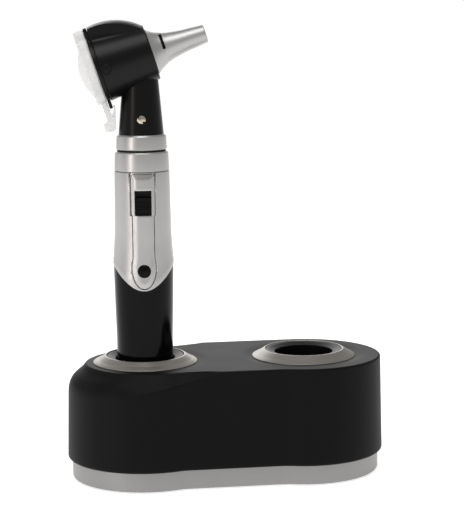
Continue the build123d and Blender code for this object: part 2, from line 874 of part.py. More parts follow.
stud_flange_low = window_middle + guide_half_height + fit_gap
with BuildPart() as switch_chassis:
    add(on_handle(
        (0, bore_step),
        (upper_bore, bore_step),
        (upper_bore, stud_flange_low),
        (0, stud_flange_low),
    ))
    front_room = front_block(3 * tube_radius, bore_step, stud_flange_low, chassis_front, 2 * tube_radius)
    add(front_room, mode=Mode.SUBTRACT)
    add(on_handle(
        (0, bore_step),
        (rod_radius, bore_step),
        (rod_radius, stud_flange_low),
        (0, stud_flange_low),
    ), mode=Mode.SUBTRACT)
switch_chassis.part.label = "switch_chassis"
export_step(switch_chassis.part, "parts/switch_chassis.step")

head_contact_top = stud_top + stud_room - fit_gap
with BuildPart() as lead_rod:
    add(on_handle(
        (0, bore_step),
        (rod_radius, bore_step),
        (rod_radius, head_contact_top - 0.5),
        (rod_radius - 0.5, head_contact_top),
        (0, head_contact_top),
    ))
lead_rod.part.label = "lead_rod"
export_step(lead_rod.part, "parts/lead_rod.step")

cell_low = bore_step - disc_thickness - cell_length
with BuildPart() as contact_disc:
    add(on_handle(
        (0, bore_step - disc_thickness),
        (cell_radius, bore_step - disc_thickness),
        (cell_radius, bore_step),
        (0, bore_step),
    ))
contact_disc.part.label = "contact_disc"
export_step(contact_disc.part, "parts/contact_disc.step")

cell_shoulder = cell_low + cell_length - cell_cap_height
with BuildPart() as battery_cell:
    add(on_handle(
        (0, cell_low),
        (cell_radius - cell_bevel, cell_low),
        (cell_radius, cell_low + cell_bevel),
        (cell_radius, cell_shoulder - cell_bevel),
        (cell_radius - cell_bevel, cell_shoulder),
        (cell_cap_radius, cell_shoulder),
        (cell_cap_radius, cell_low + cell_length),
        (0, cell_low + cell_length),
    ))
battery_cell.part.label = "battery_cell"
export_step(battery_cell.part, "parts/battery_cell.step")

with BuildPart() as battery_spring:
    spring_low = cap_height + tail_spring_wire / 2 + fit_gap
    spring_height = cell_low - tail_spring_wire / 2 - fit_gap - spring_low
    with BuildLine(Plane((axis_x, 0, up(spring_low)))):
        coil = Helix(spring_height / tail_spring_turns, spring_height, tail_spring_radius)
    with BuildSketch(Plane(origin=coil @ 0, z_dir=coil % 0)):
        Circle(tail_spring_wire / 2)
    sweep(path=coil, is_frenet=True)
battery_spring.part.label = "battery_spring"
export_step(battery_spring.part, "parts/battery_spring.step")

pocket_top = cap_recess_depth + contact_thickness
with BuildPart() as tail_cap:
    add(on_handle(
        (0, 0),
        (tube_radius - cap_bevel / 2, 0),
        (tube_radius, cap_bevel),
        (tube_radius, cap_flange_height),
        (cell_bore, cap_flange_height),
        (cell_bore, cap_height),
        (0, cap_height),
    ))
    add(on_handle(
        (0, 0),
        (cap_recess_radius, 0),
        (cap_recess_radius, cap_recess_depth),
        (0, cap_recess_depth),
    ), mode=Mode.SUBTRACT)
    add(on_handle(
        (contact_ring_inner, cap_recess_depth),
        (contact_ring_outer, cap_recess_depth),
        (contact_ring_outer, pocket_top),
        (contact_ring_inner, pocket_top),
    ), mode=Mode.SUBTRACT)
    add(on_handle(
        (0, cap_recess_depth),
        (contact_radius, cap_recess_depth),
        (contact_radius, pocket_top),
        (contact_stem_radius, pocket_top),
        (contact_stem_radius, cap_height),
        (0, cap_height),
    ), mode=Mode.SUBTRACT)
tail_cap.part.label = "tail_cap"
export_step(tail_cap.part, "parts/tail_cap.step")

with BuildPart() as tail_contact_ring:
    add(on_handle(
        (contact_ring_inner, cap_recess_depth),
        (contact_ring_outer, cap_recess_depth),
        (contact_ring_outer, pocket_top),
        (contact_ring_inner, pocket_top),
    ))
tail_contact_ring.part.label = "tail_contact_ring"
export_step(tail_contact_ring.part, "parts/tail_contact_ring.step")

with BuildPart() as tail_contact_centre:
    add(on_handle(
        (0, cap_recess_depth),
        (contact_radius, cap_recess_depth),
        (contact_radius, pocket_top),
        (contact_stem_radius, pocket_top),
        (contact_stem_radius, cap_height),
        (0, cap_height),
    ))
tail_contact_centre.part.label = "tail_contact_centre"
export_step(tail_contact_centre.part, "parts/tail_contact_centre.step")

with BuildPart() as cap_ring:
    add(on_handle(
        (stud_radius, cap_ring_low),
        (cap_ring_radius, cap_ring_low),
        (cap_ring_radius - cap_ring_taper, cap_ring_high - chamfer_size),
        (cap_ring_radius - cap_ring_taper - chamfer_size, cap_ring_high),
        (stud_radius, cap_ring_high),
    ))
cap_ring.part.label = "cap_ring"
export_step(cap_ring.part, "parts/cap_ring.step")

with BuildPart() as joint_washer:
    add(on_handle(
        (stud_radius, cap_ring_high),
        (washer_radius, cap_ring_high),
        (washer_radius, washer_high),
        (stud_radius, washer_high),
    ))
joint_washer.part.label = "joint_washer"
export_step(joint_washer.part, "parts/joint_washer.step")


def coupling_sectors(inner, outer, low, high, start, half_angle):
    """Three sectors of a ring round the handle's axis, as lugs or as the slots they pass."""
    ring = on_handle((inner, low), (outer, low), (outer, high), (inner, high))
    with BuildPart() as wedges:
        with BuildSketch(handle_plane(low - 1)):
            for index in range(lug_count):
                middle = radians(start + index * 360 / lug_count)
                spread = radians(half_angle)
                reach = 3 * outer
                with BuildLine():
                    Polyline(
                        (0, 0),
                        (reach * cos(middle - spread), reach * sin(middle - spread)),
                        (reach * cos(middle + spread), reach * sin(middle + spread)),
                        close=True,
                    )
                make_face()
        extrude(amount=high - low + 2)
    return ring & wedges.part


with BuildPart() as bayonet_stud:
    add(on_handle(
        (rod_radius + sleeve_wall, stud_flange_low),
        (upper_bore, stud_flange_low),
        (upper_bore, tube_top),
        (stud_radius, tube_top),
        (stud_radius, stud_top - 0.5),
        (stud_radius - 0.5, stud_top),
        (rod_radius + sleeve_wall, stud_top),
    ))
    add(coupling_sectors(stud_radius - 1, lug_radius, lug_low, lug_low + lug_height, 0, lug_half_angle))
bayonet_stud.part.label = "bayonet_stud"
export_step(bayonet_stud.part, "parts/bayonet_stud.step")

with BuildPart() as contact_sleeve:
    add(on_handle(
        (rod_radius, stud_flange_low),
        (rod_radius + sleeve_wall, stud_flange_low),
        (rod_radius + sleeve_wall, stud_top),
        (rod_radius, stud_top),
    ))
contact_sleeve.part.label = "contact_sleeve"
export_step(contact_sleeve.part, "parts/contact_sleeve.step")

# ---------------------------------------------------------------- head
lug_room_high = lug_low + lug_height + free_gap
with BuildPart() as head_collar:
    add(on_handle(
        (stud_radius + running_gap, collar_low),
        (collar_radius - chamfer_size / 2, collar_low),
        (collar_radius, collar_low + chamfer_size / 2),
        (collar_radius - collar_taper, collar_high - chamfer_size),
        (collar_radius - collar_taper - chamfer_size, collar_high),
        (core_radius, collar_high),
        (core_radius, core_high),
        (core_bore, core_high),
        (core_bore, stud_top + stud_room),
        (stud_radius + free_gap, stud_top + stud_room),
        (stud_radius + free_gap, lug_room_high),
        (lug_radius + free_gap, lug_room_high),
        (lug_radius + free_gap, collar_low + collar_lip),
        (stud_radius + running_gap, collar_low + collar_lip),
    ))
    entry_slots = coupling_sectors(
        stud_radius - 1,
        lug_radius + free_gap,
        collar_low - 1,
        collar_low + collar_lip + 0.2,
        -twist_angle,
        lug_half_angle + 2,
    )
    add(entry_slots, mode=Mode.SUBTRACT)
head_collar.part.label = "head_collar"
export_step(head_collar.part, "parts/head_collar.step")


def barrel_solid():
    """The head's tapering barrel, without its cavity."""
    return on_optics(
        (head_rear, 0),
        (head_rear, barrel_rear_radius),
        (head_front, barrel_front_radius),
        (head_front, 0),
    )


def neck_radius_at(height):
    """Radius of the neck at a height above the foot."""
    return neck_radius - neck_taper * (height - collar_high)


screw_face = neck_radius_at(screw_height)
with BuildPart() as head_neck:
    add(on_handle(
        (core_radius, collar_high),
        (neck_radius, collar_high),
        (neck_radius_at(neck_high), neck_high),
        (core_radius, neck_high),
    ))
    add(barrel_solid(), mode=Mode.SUBTRACT)
    with BuildSketch(front_plane(0)):
        with Locations((0, up(screw_height))):
            Circle(neck_screw_radius + running_gap)
    extrude(amount=tube_radius, mode=Mode.SUBTRACT)
head_neck.part.label = "head_neck"
export_step(head_neck.part, "parts/head_neck.step")

with BuildPart() as neck_screw:
    with BuildSketch(front_plane(core_radius)):
        with Locations((0, up(screw_height))):
            Circle(neck_screw_radius)
    extrude(amount=screw_face - core_radius - fit_gap)
    with BuildSketch(front_plane(screw_face - neck_screw_slot_depth)):
        with Locations(Location((0, up(screw_height)), -45)):
            Rectangle(2 * neck_screw_radius, neck_screw_slot)
    extrude(amount=neck_screw_slot_depth, mode=Mode.SUBTRACT)
neck_screw.part.label = "neck_screw"
export_step(neck_screw.part, "parts/neck_screw.step")

crest_centre = crest_top - crest_arc_radius


def crest_height(section):
    """Height of the crest's arched top over the optical axis."""
    return crest_centre + sqrt(crest_arc_radius**2 - (section - crest_arc_section) ** 2)


guide_start = lamp_top + free_gap - head_height
guide_from = (guide_start * sin(radians(optical_tilt)), guide_start * cos(radians(optical_tilt)))
guide_to = (4.4, -(spigot_bore + sight_radius + 2 * fibre_wall) / 2 - 0.6)
with BuildLine(optical_side) as guide_path:
    TangentArc(guide_from, guide_to, tangent=(sin(radians(optical_tilt)), cos(radians(optical_tilt))))


def guide_solid(radius):
    """Bent rod from the lamp to the back of the nose."""
    path = guide_path.wires()[0]
    with BuildPart() as rod:
        with BuildSketch(Plane(origin=path @ 0, z_dir=path % 0)):
            Circle(radius)
        sweep(path=path)
    return rod.part


with BuildPart() as head_body:
    with BuildSketch(optical_side):
        with BuildLine():
            Line((head_rear, 0), (head_rear, crest_height(head_rear)))
            ThreePointArc(
                (head_rear, crest_height(head_rear)),
                (crest_arc_section / 2, crest_height(crest_arc_section / 2)),
                (crest_front, crest_height(crest_front)),
            )
            Line((crest_front, crest_height(crest_front)), (head_front, crest_bevel))
            Line((head_front, crest_bevel), (head_front, 0))
            Line((head_front, 0), (head_rear, 0))
        make_face()
    extrude(amount=crest_half_width, both=True)
    crest_edges = head_body.edges().filter_by(GeomType.CIRCLE)
    fillet(crest_edges, crest_fillet)
    add(barrel_solid())
    add(on_optics(
        (head_front - 1, 0),
        (head_front - 1, spigot_radius),
        (spigot_front, spigot_radius),
        (spigot_front, 0),
    ))
    add(on_optics(
        (head_rear - 1, 0),
        (head_rear - 1, cavity_radius),
        (head_rear + cavity_depth, cavity_radius),
        (head_front - 2, spigot_bore),
        (spigot_front + 1, spigot_bore),
        (spigot_front + 1, 0),
    ), mode=Mode.SUBTRACT)
    add(guide_solid(guide_radius + fit_gap), mode=Mode.SUBTRACT)
    with BuildSketch(section_plane(head_rear)):
        with Locations((0, pivot_height)):
            Circle(pivot_radius)
    extrude(amount=pivot_front - head_rear, mode=Mode.SUBTRACT)
    port_origin = head_centre + optical_dir * port_section + optical_up * port_height
    port_plane = Plane(origin=port_origin, x_dir=optical_dir, z_dir=-handle_turn.y_dir)
    with BuildSketch(port_plane):
        Circle(port_radius)
    extrude(amount=barrel_rear_radius + 5, mode=Mode.SUBTRACT)
head_body.part.label = "head_body"
export_step(head_body.part, "parts/head_body.step")

with BuildPart() as port_bush:
    port_face = barrel_rear_radius + fit_gap
    with BuildSketch(port_plane.offset(cavity_radius + fit_gap)):
        Circle(port_radius)
    extrude(amount=port_face - cavity_radius - fit_gap)
    with BuildSketch(port_plane.offset(port_face)):
        Circle(port_recess_radius)
    extrude(amount=-port_recess_depth, mode=Mode.SUBTRACT)
    with BuildSketch(port_plane):
        Circle(port_hole_radius)
    extrude(amount=port_face, mode=Mode.SUBTRACT)
port_bush.part.label = "port_bush"
export_step(port_bush.part, "parts/port_bush.step")


with BuildPart() as rear_flange:
    with BuildSketch(section_plane(flange_rear)) as flange_sketch:
        Circle(flange_radius)
        with Locations((0, flange_top / 2)):
            RectangleRounded(2 * (crest_half_width + free_gap), flange_top, crest_fillet)
        with Locations((0, flange_lip / 2)):
            Rectangle(2 * flange_lip_half_width, -flange_lip)
        Circle(cavity_radius, mode=Mode.SUBTRACT)
        with Locations((0, pivot_height)):
            Circle(pivot_radius, mode=Mode.SUBTRACT)
    extrude(amount=flange_front - flange_rear)
    with BuildSketch(section_plane(flange_front)):
        Circle(flange_radius - flange_spacer_inset)
        Circle(cavity_radius, mode=Mode.SUBTRACT)
    extrude(amount=head_rear - flange_front)
rear_flange.part.label = "rear_flange"
export_step(rear_flange.part, "parts/rear_flange.step")

with BuildPart() as lens_carrier:
    with BuildSketch(section_plane(carrier_rear)):
        Circle(carrier_radius)
        with Locations((0, carrier_top / 2)):
            RectangleRounded(2 * crest_half_width, carrier_top, crest_fillet)
        Circle(lens_radius, mode=Mode.SUBTRACT)
        with Locations((0, pivot_height)):
            Circle(pivot_radius + running_gap, mode=Mode.SUBTRACT)
    extrude(amount=carrier_front - carrier_rear)
    with BuildSketch(section_plane(lens_seat)):
        Circle(lens_radius)
        Circle(lens_rim_radius, mode=Mode.SUBTRACT)
    extrude(amount=carrier_front - lens_seat)
    with BuildSketch(section_plane(carrier_rear)):
        with Locations((0, pivot_height)):
            Circle(pivot_head_radius + running_gap)
    extrude(amount=pivot_head_depth, mode=Mode.SUBTRACT)
    leg_front = carrier_front - slide_gap
    leg_rear = leg_front - tab_thickness
    hook_rear = flange_front + free_gap + running_gap
    hook_top = flange_lip + hook_lift
    tab_low = flange_lip - tab_reach
    with BuildSketch(optical_side):
        with BuildLine():
            Polyline(
                (leg_rear, 1 - carrier_radius),
                (leg_rear, tab_low + 5.0),
                (leg_rear - tab_fork, tab_low + 4.7),
                (leg_rear - tab_fork, tab_low + 1.0),
                (leg_rear, tab_low),
                (leg_front, tab_low + 0.2),
                (hook_rear - 1.6, tab_low + 4.0),
                (hook_rear + 0.75, flange_lip),
                (hook_rear + 0.6, hook_top),
                (hook_rear, hook_top),
                (hook_rear, flange_lip - 0.7),
                (leg_front + fit_gap, flange_lip - 4.2),
                (leg_front, flange_lip - 3.6),
                (leg_front, 1 - carrier_radius),
                close=True,
            )
        make_face()
    extrude(amount=tab_half_width, both=True)
lens_carrier.part.label = "lens_carrier"
export_step(lens_carrier.part, "parts/lens_carrier.step")

dome_radius = (lens_radius**2 + lens_sagitta**2) / (2 * lens_sagitta)
with BuildPart() as magnifying_lens:
    with BuildSketch(optical_side):
        with BuildLine():
            Line((lens_seat, 0), (lens_seat, lens_radius))
            Line((lens_seat, lens_radius), (carrier_rear, lens_radius))
            RadiusArc((carrier_rear, lens_radius), (carrier_rear - lens_sagitta, 0), -dome_radius)
            Line((carrier_rear - lens_sagitta, 0), (lens_seat, 0))
        make_face()
    revolve(axis=optical_axis)
magnifying_lens.part.label = "magnifying_lens"
export_step(magnifying_lens.part, "parts/magnifying_lens.step")

with BuildPart() as lens_pivot:
    with BuildSketch(section_plane(carrier_rear)):
        with Locations((0, pivot_height)):
            Circle(pivot_radius)
    extrude(amount=pivot_front - carrier_rear)
    with BuildSketch(section_plane(carrier_rear)):
        with Locations((0, pivot_height)):
            Circle(pivot_head_radius)
    extrude(amount=pivot_head_depth - running_gap)
lens_pivot.part.label = "lens_pivot"
export_step(lens_pivot.part, "parts/lens_pivot.step")

nose_bore_step = spigot_front + slide_gap
slot_rear = nose_slot_section - nose_slot_width / 2
slot_front = nose_slot_section + nose_slot_width / 2
with BuildPart() as slot_wedges:
    with BuildSketch(section_plane(slot_rear)):
        for side_angle in (slot_angle, slot_angle + 180):
            first = radians(side_angle - nose_slot_sweep / 2)
            last = radians(side_angle + nose_slot_sweep / 2)
            with BuildLine():
                Polyline(
                    (0, 0),
                    (nose_tip * cos(first), nose_tip * sin(first)),
                    (nose_tip * cos(last), nose_tip * sin(last)),
                    close=True,
                )
            make_face()
    extrude(amount=nose_slot_width)

with BuildPart() as nose_cone:
    add(on_optics(
        (nose_rear, spigot_radius + running_gap),
        (nose_rear, nose_rear_radius),
        *nose_profile,
        (nose_tip - nose_tip_wall / 2, nose_tip_radius),
        (nose_tip, nose_tip_radius - nose_tip_wall / 2),
        (nose_tip, nose_tip_radius - nose_tip_wall),
        (nose_waist, nose_waist_bore),
        (nose_mid, nose_mid_bore),
        (nose_bore_step, nose_step_bore),
        (nose_bore_step, spigot_radius + running_gap),
    ))
    slot_reach = 2 * nose_rear_radius
    slot_ring = on_optics((slot_rear, 0), (slot_rear, slot_reach), (slot_front, slot_reach), (slot_front, 0))
    add(slot_ring & slot_wedges.part, mode=Mode.SUBTRACT)
nose_cone.part.label = "nose_cone"
export_step(nose_cone.part, "parts/nose_cone.step")

fibre_tip = nose_tip_radius - nose_tip_wall - fibre_gap
fibre_end = nose_tip - fit_gap
fibre_waist_radius = nose_waist_bore - fibre_gap
fibre_rear_radius = nose_mid_bore - fibre_gap
with BuildPart() as fibre_ring:
    add(on_optics(
        (nose_mid, fibre_rear_radius),
        (nose_waist, fibre_waist_radius),
        (fibre_end, fibre_tip),
        (fibre_end, fibre_tip - fibre_wall),
        (nose_waist, fibre_waist_radius - fibre_wall),
        (nose_mid, fibre_rear_radius - fibre_wall),
    ))
fibre_ring.part.label = "fibre_ring"
export_step(fibre_ring.part, "parts/fibre_ring.step")

with BuildPart() as inner_cone:
    add(on_optics(
        (head_front - 1, spigot_bore),
        (spigot_front + fit_gap, spigot_bore),
        (nose_mid, fibre_rear_radius),
        (nose_mid, fibre_rear_radius - fibre_wall),
        (nose_waist, fibre_waist_radius - fibre_wall),
        (fibre_end, fibre_tip - fibre_wall),
        (fibre_end, sight_radius),
        (fibre_end - sight_length, sight_radius),
        (nose_mid, funnel_mid_bore),
        (head_front - 1, funnel_rear_bore),
    ))
inner_cone.part.label = "inner_cone"
export_step(inner_cone.part, "parts/inner_cone.step")

with BuildPart() as light_guide:
    add(guide_solid(guide_radius))
light_guide.part.label = "light_guide"
export_step(light_guide.part, "parts/light_guide.step")

with BuildPart() as lamp_contact:
    add(on_handle(
        (0, stud_top + stud_room),
        (lamp_contact_radius, stud_top + stud_room),
        (lamp_contact_radius, lamp_base_low),
        (0, lamp_base_low),
    ))
lamp_contact.part.label = "lamp_contact"
export_step(lamp_contact.part, "parts/lamp_contact.step")

with BuildPart() as lamp_base:
    add(on_handle(
        (0, lamp_base_low),
        (core_bore, lamp_base_low),
        (core_bore, lamp_base_low + lamp_flange_height),
        (lamp_base_radius, lamp_base_low + lamp_flange_height),
        (lamp_base_radius, lamp_base_high),
        (0, lamp_base_high),
    ))
lamp_base.part.label = "lamp_base"
export_step(lamp_base.part, "parts/lamp_base.step")

with BuildPart() as lamp_bulb:
    add(on_handle(
        (0, lamp_base_high),
        (lamp_bulb_radius, lamp_base_high),
        (lamp_bulb_radius, lamp_top - lamp_lens_height),
        (lamp_bulb_radius * 0.8, lamp_top - lamp_lens_height / 2),
        (lamp_lens_radius, lamp_top),
        (0, lamp_top),
    ))
lamp_bulb.part.label = "lamp_bulb"
export_step(lamp_bulb.part, "parts/lamp_bulb.step")
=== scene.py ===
"""Looks of an otoscope that stands in the left well of its two-well desk charger.

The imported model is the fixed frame. Every new surface is worked out in millimetres in the frame of the
piece it covers, placed by the frame's own boxes and joints, and then written in metres.
"""

import json
import logging
from dataclasses import dataclass
from enum import Enum
from math import cos, pi, radians, sin, sqrt

import bmesh
import bpy
import numpy as np
from mathutils import Matrix, Vector


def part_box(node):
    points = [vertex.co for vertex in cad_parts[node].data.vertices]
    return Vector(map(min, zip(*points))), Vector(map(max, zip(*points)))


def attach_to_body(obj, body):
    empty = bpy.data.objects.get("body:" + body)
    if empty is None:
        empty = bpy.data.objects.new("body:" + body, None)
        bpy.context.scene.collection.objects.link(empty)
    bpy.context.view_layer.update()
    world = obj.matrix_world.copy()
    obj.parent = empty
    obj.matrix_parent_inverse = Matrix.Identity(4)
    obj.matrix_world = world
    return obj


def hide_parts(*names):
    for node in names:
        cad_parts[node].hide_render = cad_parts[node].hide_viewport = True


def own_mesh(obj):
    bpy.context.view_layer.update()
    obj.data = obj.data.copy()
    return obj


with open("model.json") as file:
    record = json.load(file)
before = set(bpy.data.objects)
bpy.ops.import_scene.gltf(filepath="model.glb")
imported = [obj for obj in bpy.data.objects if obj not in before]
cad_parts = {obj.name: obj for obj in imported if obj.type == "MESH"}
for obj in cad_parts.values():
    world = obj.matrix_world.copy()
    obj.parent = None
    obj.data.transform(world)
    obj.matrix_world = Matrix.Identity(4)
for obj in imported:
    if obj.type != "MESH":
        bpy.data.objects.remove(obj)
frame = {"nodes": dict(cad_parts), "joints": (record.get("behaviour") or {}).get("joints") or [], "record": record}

LOG = logging.getLogger("otoscope")
MM = 0.001
Array = np.ndarray


class Shading(Enum):
    """How the faces of a new piece are shaded."""

    SMOOTH = "smooth"
    CREASED = "creased"


@dataclass(frozen=True)
class Placement:
    """A local frame in millimetres: an origin and three unit directions.

    Attributes:
        origin: place of the local zero, in the row frame.
        x: first direction.
        y: second direction.
        z: third direction.
    """

    origin: Array
    x: Array
    y: Array
    z: Array

    def place(self, points: Array) -> Array:
        """Turn local millimetres into metres of the row frame.

        Args:
            points: array whose last axis holds local x, y and z.

        Returns:
            Array of the same shape, in metres.
        """
        basis = np.stack([self.x, self.y, self.z])
        return (points @ basis + self.origin) * MM


def smoothstep(low: float, high: float, value: Array) -> Array:
    """Rise smoothly from 0 at low to 1 at high."""
    share = np.clip((value - low) / (high - low), 0.0, 1.0)
    return share * share * (3 - 2 * share)


def smooth_max(first: Array, second: Array, width: Array) -> Array:
    """Larger of two values, with the corner between them rounded over a width."""
    mix = np.maximum(width - np.abs(first - second), 0.0) / np.maximum(width, 1e-9)
    return np.maximum(first, second) + mix * mix * width * 0.25


def smooth_min(first: Array, second: Array, width: Array) -> Array:
    """Smaller of two values, with the corner between them rounded over a width."""
    return -smooth_max(-first, -second, width)


def rounded(corners: list[tuple[float, float, float]], steps: int = 7) -> Array:
    """Polyline whose corners are arcs.

    Args:
        corners: (first, second, radius) for each corner; the ends keep a radius of 0.
        steps: points on each arc.

    Returns:
        Array of (first, second) points along the line.
    """
    spots = np.array([corner[:2] for corner in corners], float)
    pieces = [spots[:1]]
    for index in range(1, len(corners) - 1):
        here = spots[index]
        back = spots[index - 1] - here
        ahead = spots[index + 1] - here
        back_length = np.linalg.norm(back)
        ahead_length = np.linalg.norm(ahead)
        back = back / back_length
        ahead = ahead / ahead_length
        half = np.arccos(np.clip(back @ ahead, -1, 1)) / 2
        radius = corners[index][2]
        if radius <= 0 or half > pi / 2 - 0.01:
            pieces.append(here[None])
            continue
        reach = min(radius / np.tan(half), 0.49 * back_length, 0.49 * ahead_length)
        radius = reach * np.tan(half)
        middle = here + (back + ahead) / np.linalg.norm(back + ahead) * radius / np.sin(half)
        first = here + back * reach - middle
        last = here + ahead * reach - middle
        sweep = np.arctan2(first[0] * last[1] - first[1] * last[0], first @ last)
        angle = np.linspace(0, sweep, steps)[:, None]
        side = np.array([-first[1], first[0]])
        pieces.append(middle + first * np.cos(angle) + side * np.sin(angle))
    pieces.append(spots[-1:])
    return np.concatenate(pieces)


def curve_through(knots: Array, values: Array, at: Array) -> Array:
    """Smooth monotone-looking curve (cubic Hermite with averaged slopes) through a few knots."""
    slopes = np.gradient(values, knots)
    index = np.clip(np.searchsorted(knots, at) - 1, 0, len(knots) - 2)
    span = knots[index + 1] - knots[index]
    share = np.clip((at - knots[index]) / span, 0, 1)
    first = (1 + 2 * share) * (1 - share) ** 2 * values[index]
    last = share * share * (3 - 2 * share) * values[index + 1]
    out = share * (1 - share) ** 2 * span * slopes[index]
    into = share * share * (share - 1) * span * slopes[index + 1]
    return first + last + out + into


def grid_faces(rows: int, columns: int, wrap_rows: bool, wrap_columns: bool, keep: Array | None = None) -> Array:
    """Quads of a grid of points, numbered row by row.

    Args:
        rows: number of rows.
        columns: points in each row.
        wrap_rows: join the last row to the first.
        wrap_columns: join the last column to the first.
        keep: mask of the quads to keep, or None for all of them.

    Returns:
        Array of four point numbers for each quad.
    """
    row = np.arange(rows if wrap_rows else rows - 1)
    column = np.arange(columns if wrap_columns else columns - 1)
    low, left = np.meshgrid(row, column, indexing="ij")
    high = (low + 1) % rows
    right = (left + 1) % columns
    quads = np.stack([low * columns + left, low * columns + right, high * columns + right, high * columns + left], -1)
    return quads.reshape(-1, 4) if keep is None else quads[keep]


def make_piece(
    name: str,
    points: Array,
    faces: Array,
    material: bpy.types.Material,
    shading: Shading = Shading.SMOOTH,
    outward: bool = True,
) -> bpy.types.Object:
    """Write points and quads into a new mesh object, close its seams and point its faces outwards.

    Args:
        name: name of the piece.
        points: (n, 3) places in metres.
        faces: (m, 4) point numbers.
        material: finish of the whole piece.
        shading: smooth all over, or creased at sharp edges.
        outward: recalculate the normals of a closed piece.

    Returns:
        The new object, which stands at the origin.
    """
    mesh = bpy.data.meshes.new(name)
    mesh.from_pydata(points.reshape(-1, 3).tolist(), [], faces.tolist())
    work = bmesh.new()
    work.from_mesh(mesh)
    bmesh.ops.remove_doubles(work, verts=work.verts, dist=1e-6)
    bmesh.ops.dissolve_degenerate(work, edges=work.edges, dist=1e-7)
    if outward:
        bmesh.ops.recalc_face_normals(work, faces=work.faces)
    work.to_mesh(mesh)
    work.free()
    mesh.materials.append(material)
    mesh.polygons.foreach_set("use_smooth", np.ones(len(mesh.polygons), bool))
    if shading is Shading.CREASED:
        mesh.set_sharp_from_angle(angle=radians(32))
    mesh.update()
    piece = bpy.data.objects.new(name, mesh)
    bpy.context.scene.collection.objects.link(piece)
    return piece


def fill_ends(piece: bpy.types.Object) -> None:
    """Close the open ends of a piece and turn its faces outward.

    Args:
        piece: the object, changed in place.
    """
    work = bmesh.new()
    work.from_mesh(piece.data)
    bmesh.ops.holes_fill(work, edges=work.edges, sides=0)
    bmesh.ops.recalc_face_normals(work, faces=work.faces)
    work.to_mesh(piece.data)
    work.free()


def revolve(
    name: str,
    profile: Array,
    where: Placement,
    material: bpy.types.Material,
    closed: bool = True,
    segments: int = 160,
    shading: Shading = Shading.SMOOTH,
) -> bpy.types.Object:
    """Turn a profile round the local z axis: point = (r cos a, r sin a, z).

    Args:
        name: name of the piece.
        profile: (n, 2) radius and height.
        where: local frame of the axis.
        material: finish.
        closed: join the profile's end to its start.
        segments: steps round the axis.
        shading: smooth or creased.

    Returns:
        The new object.
    """
    angle = np.linspace(0, 2 * pi, segments, endpoint=False)[:, None]
    radius = profile[None, :, 0]
    height = np.broadcast_to(profile[None, :, 1], (segments, len(profile)))
    points = np.stack([radius * np.cos(angle), radius * np.sin(angle), height], -1)
    faces = grid_faces(segments, len(profile), True, closed)
    return make_piece(name, where.place(points), faces, material, shading)


def attach(piece: bpy.types.Object, body: str, slot: str, *nodes: str) -> None:
    """Let a piece ride on a body and stand for the nodes it covers."""
    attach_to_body(piece, body)
    if nodes:
        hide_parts(*nodes)
    LOG.info("%s rides on %s", piece.name, body)


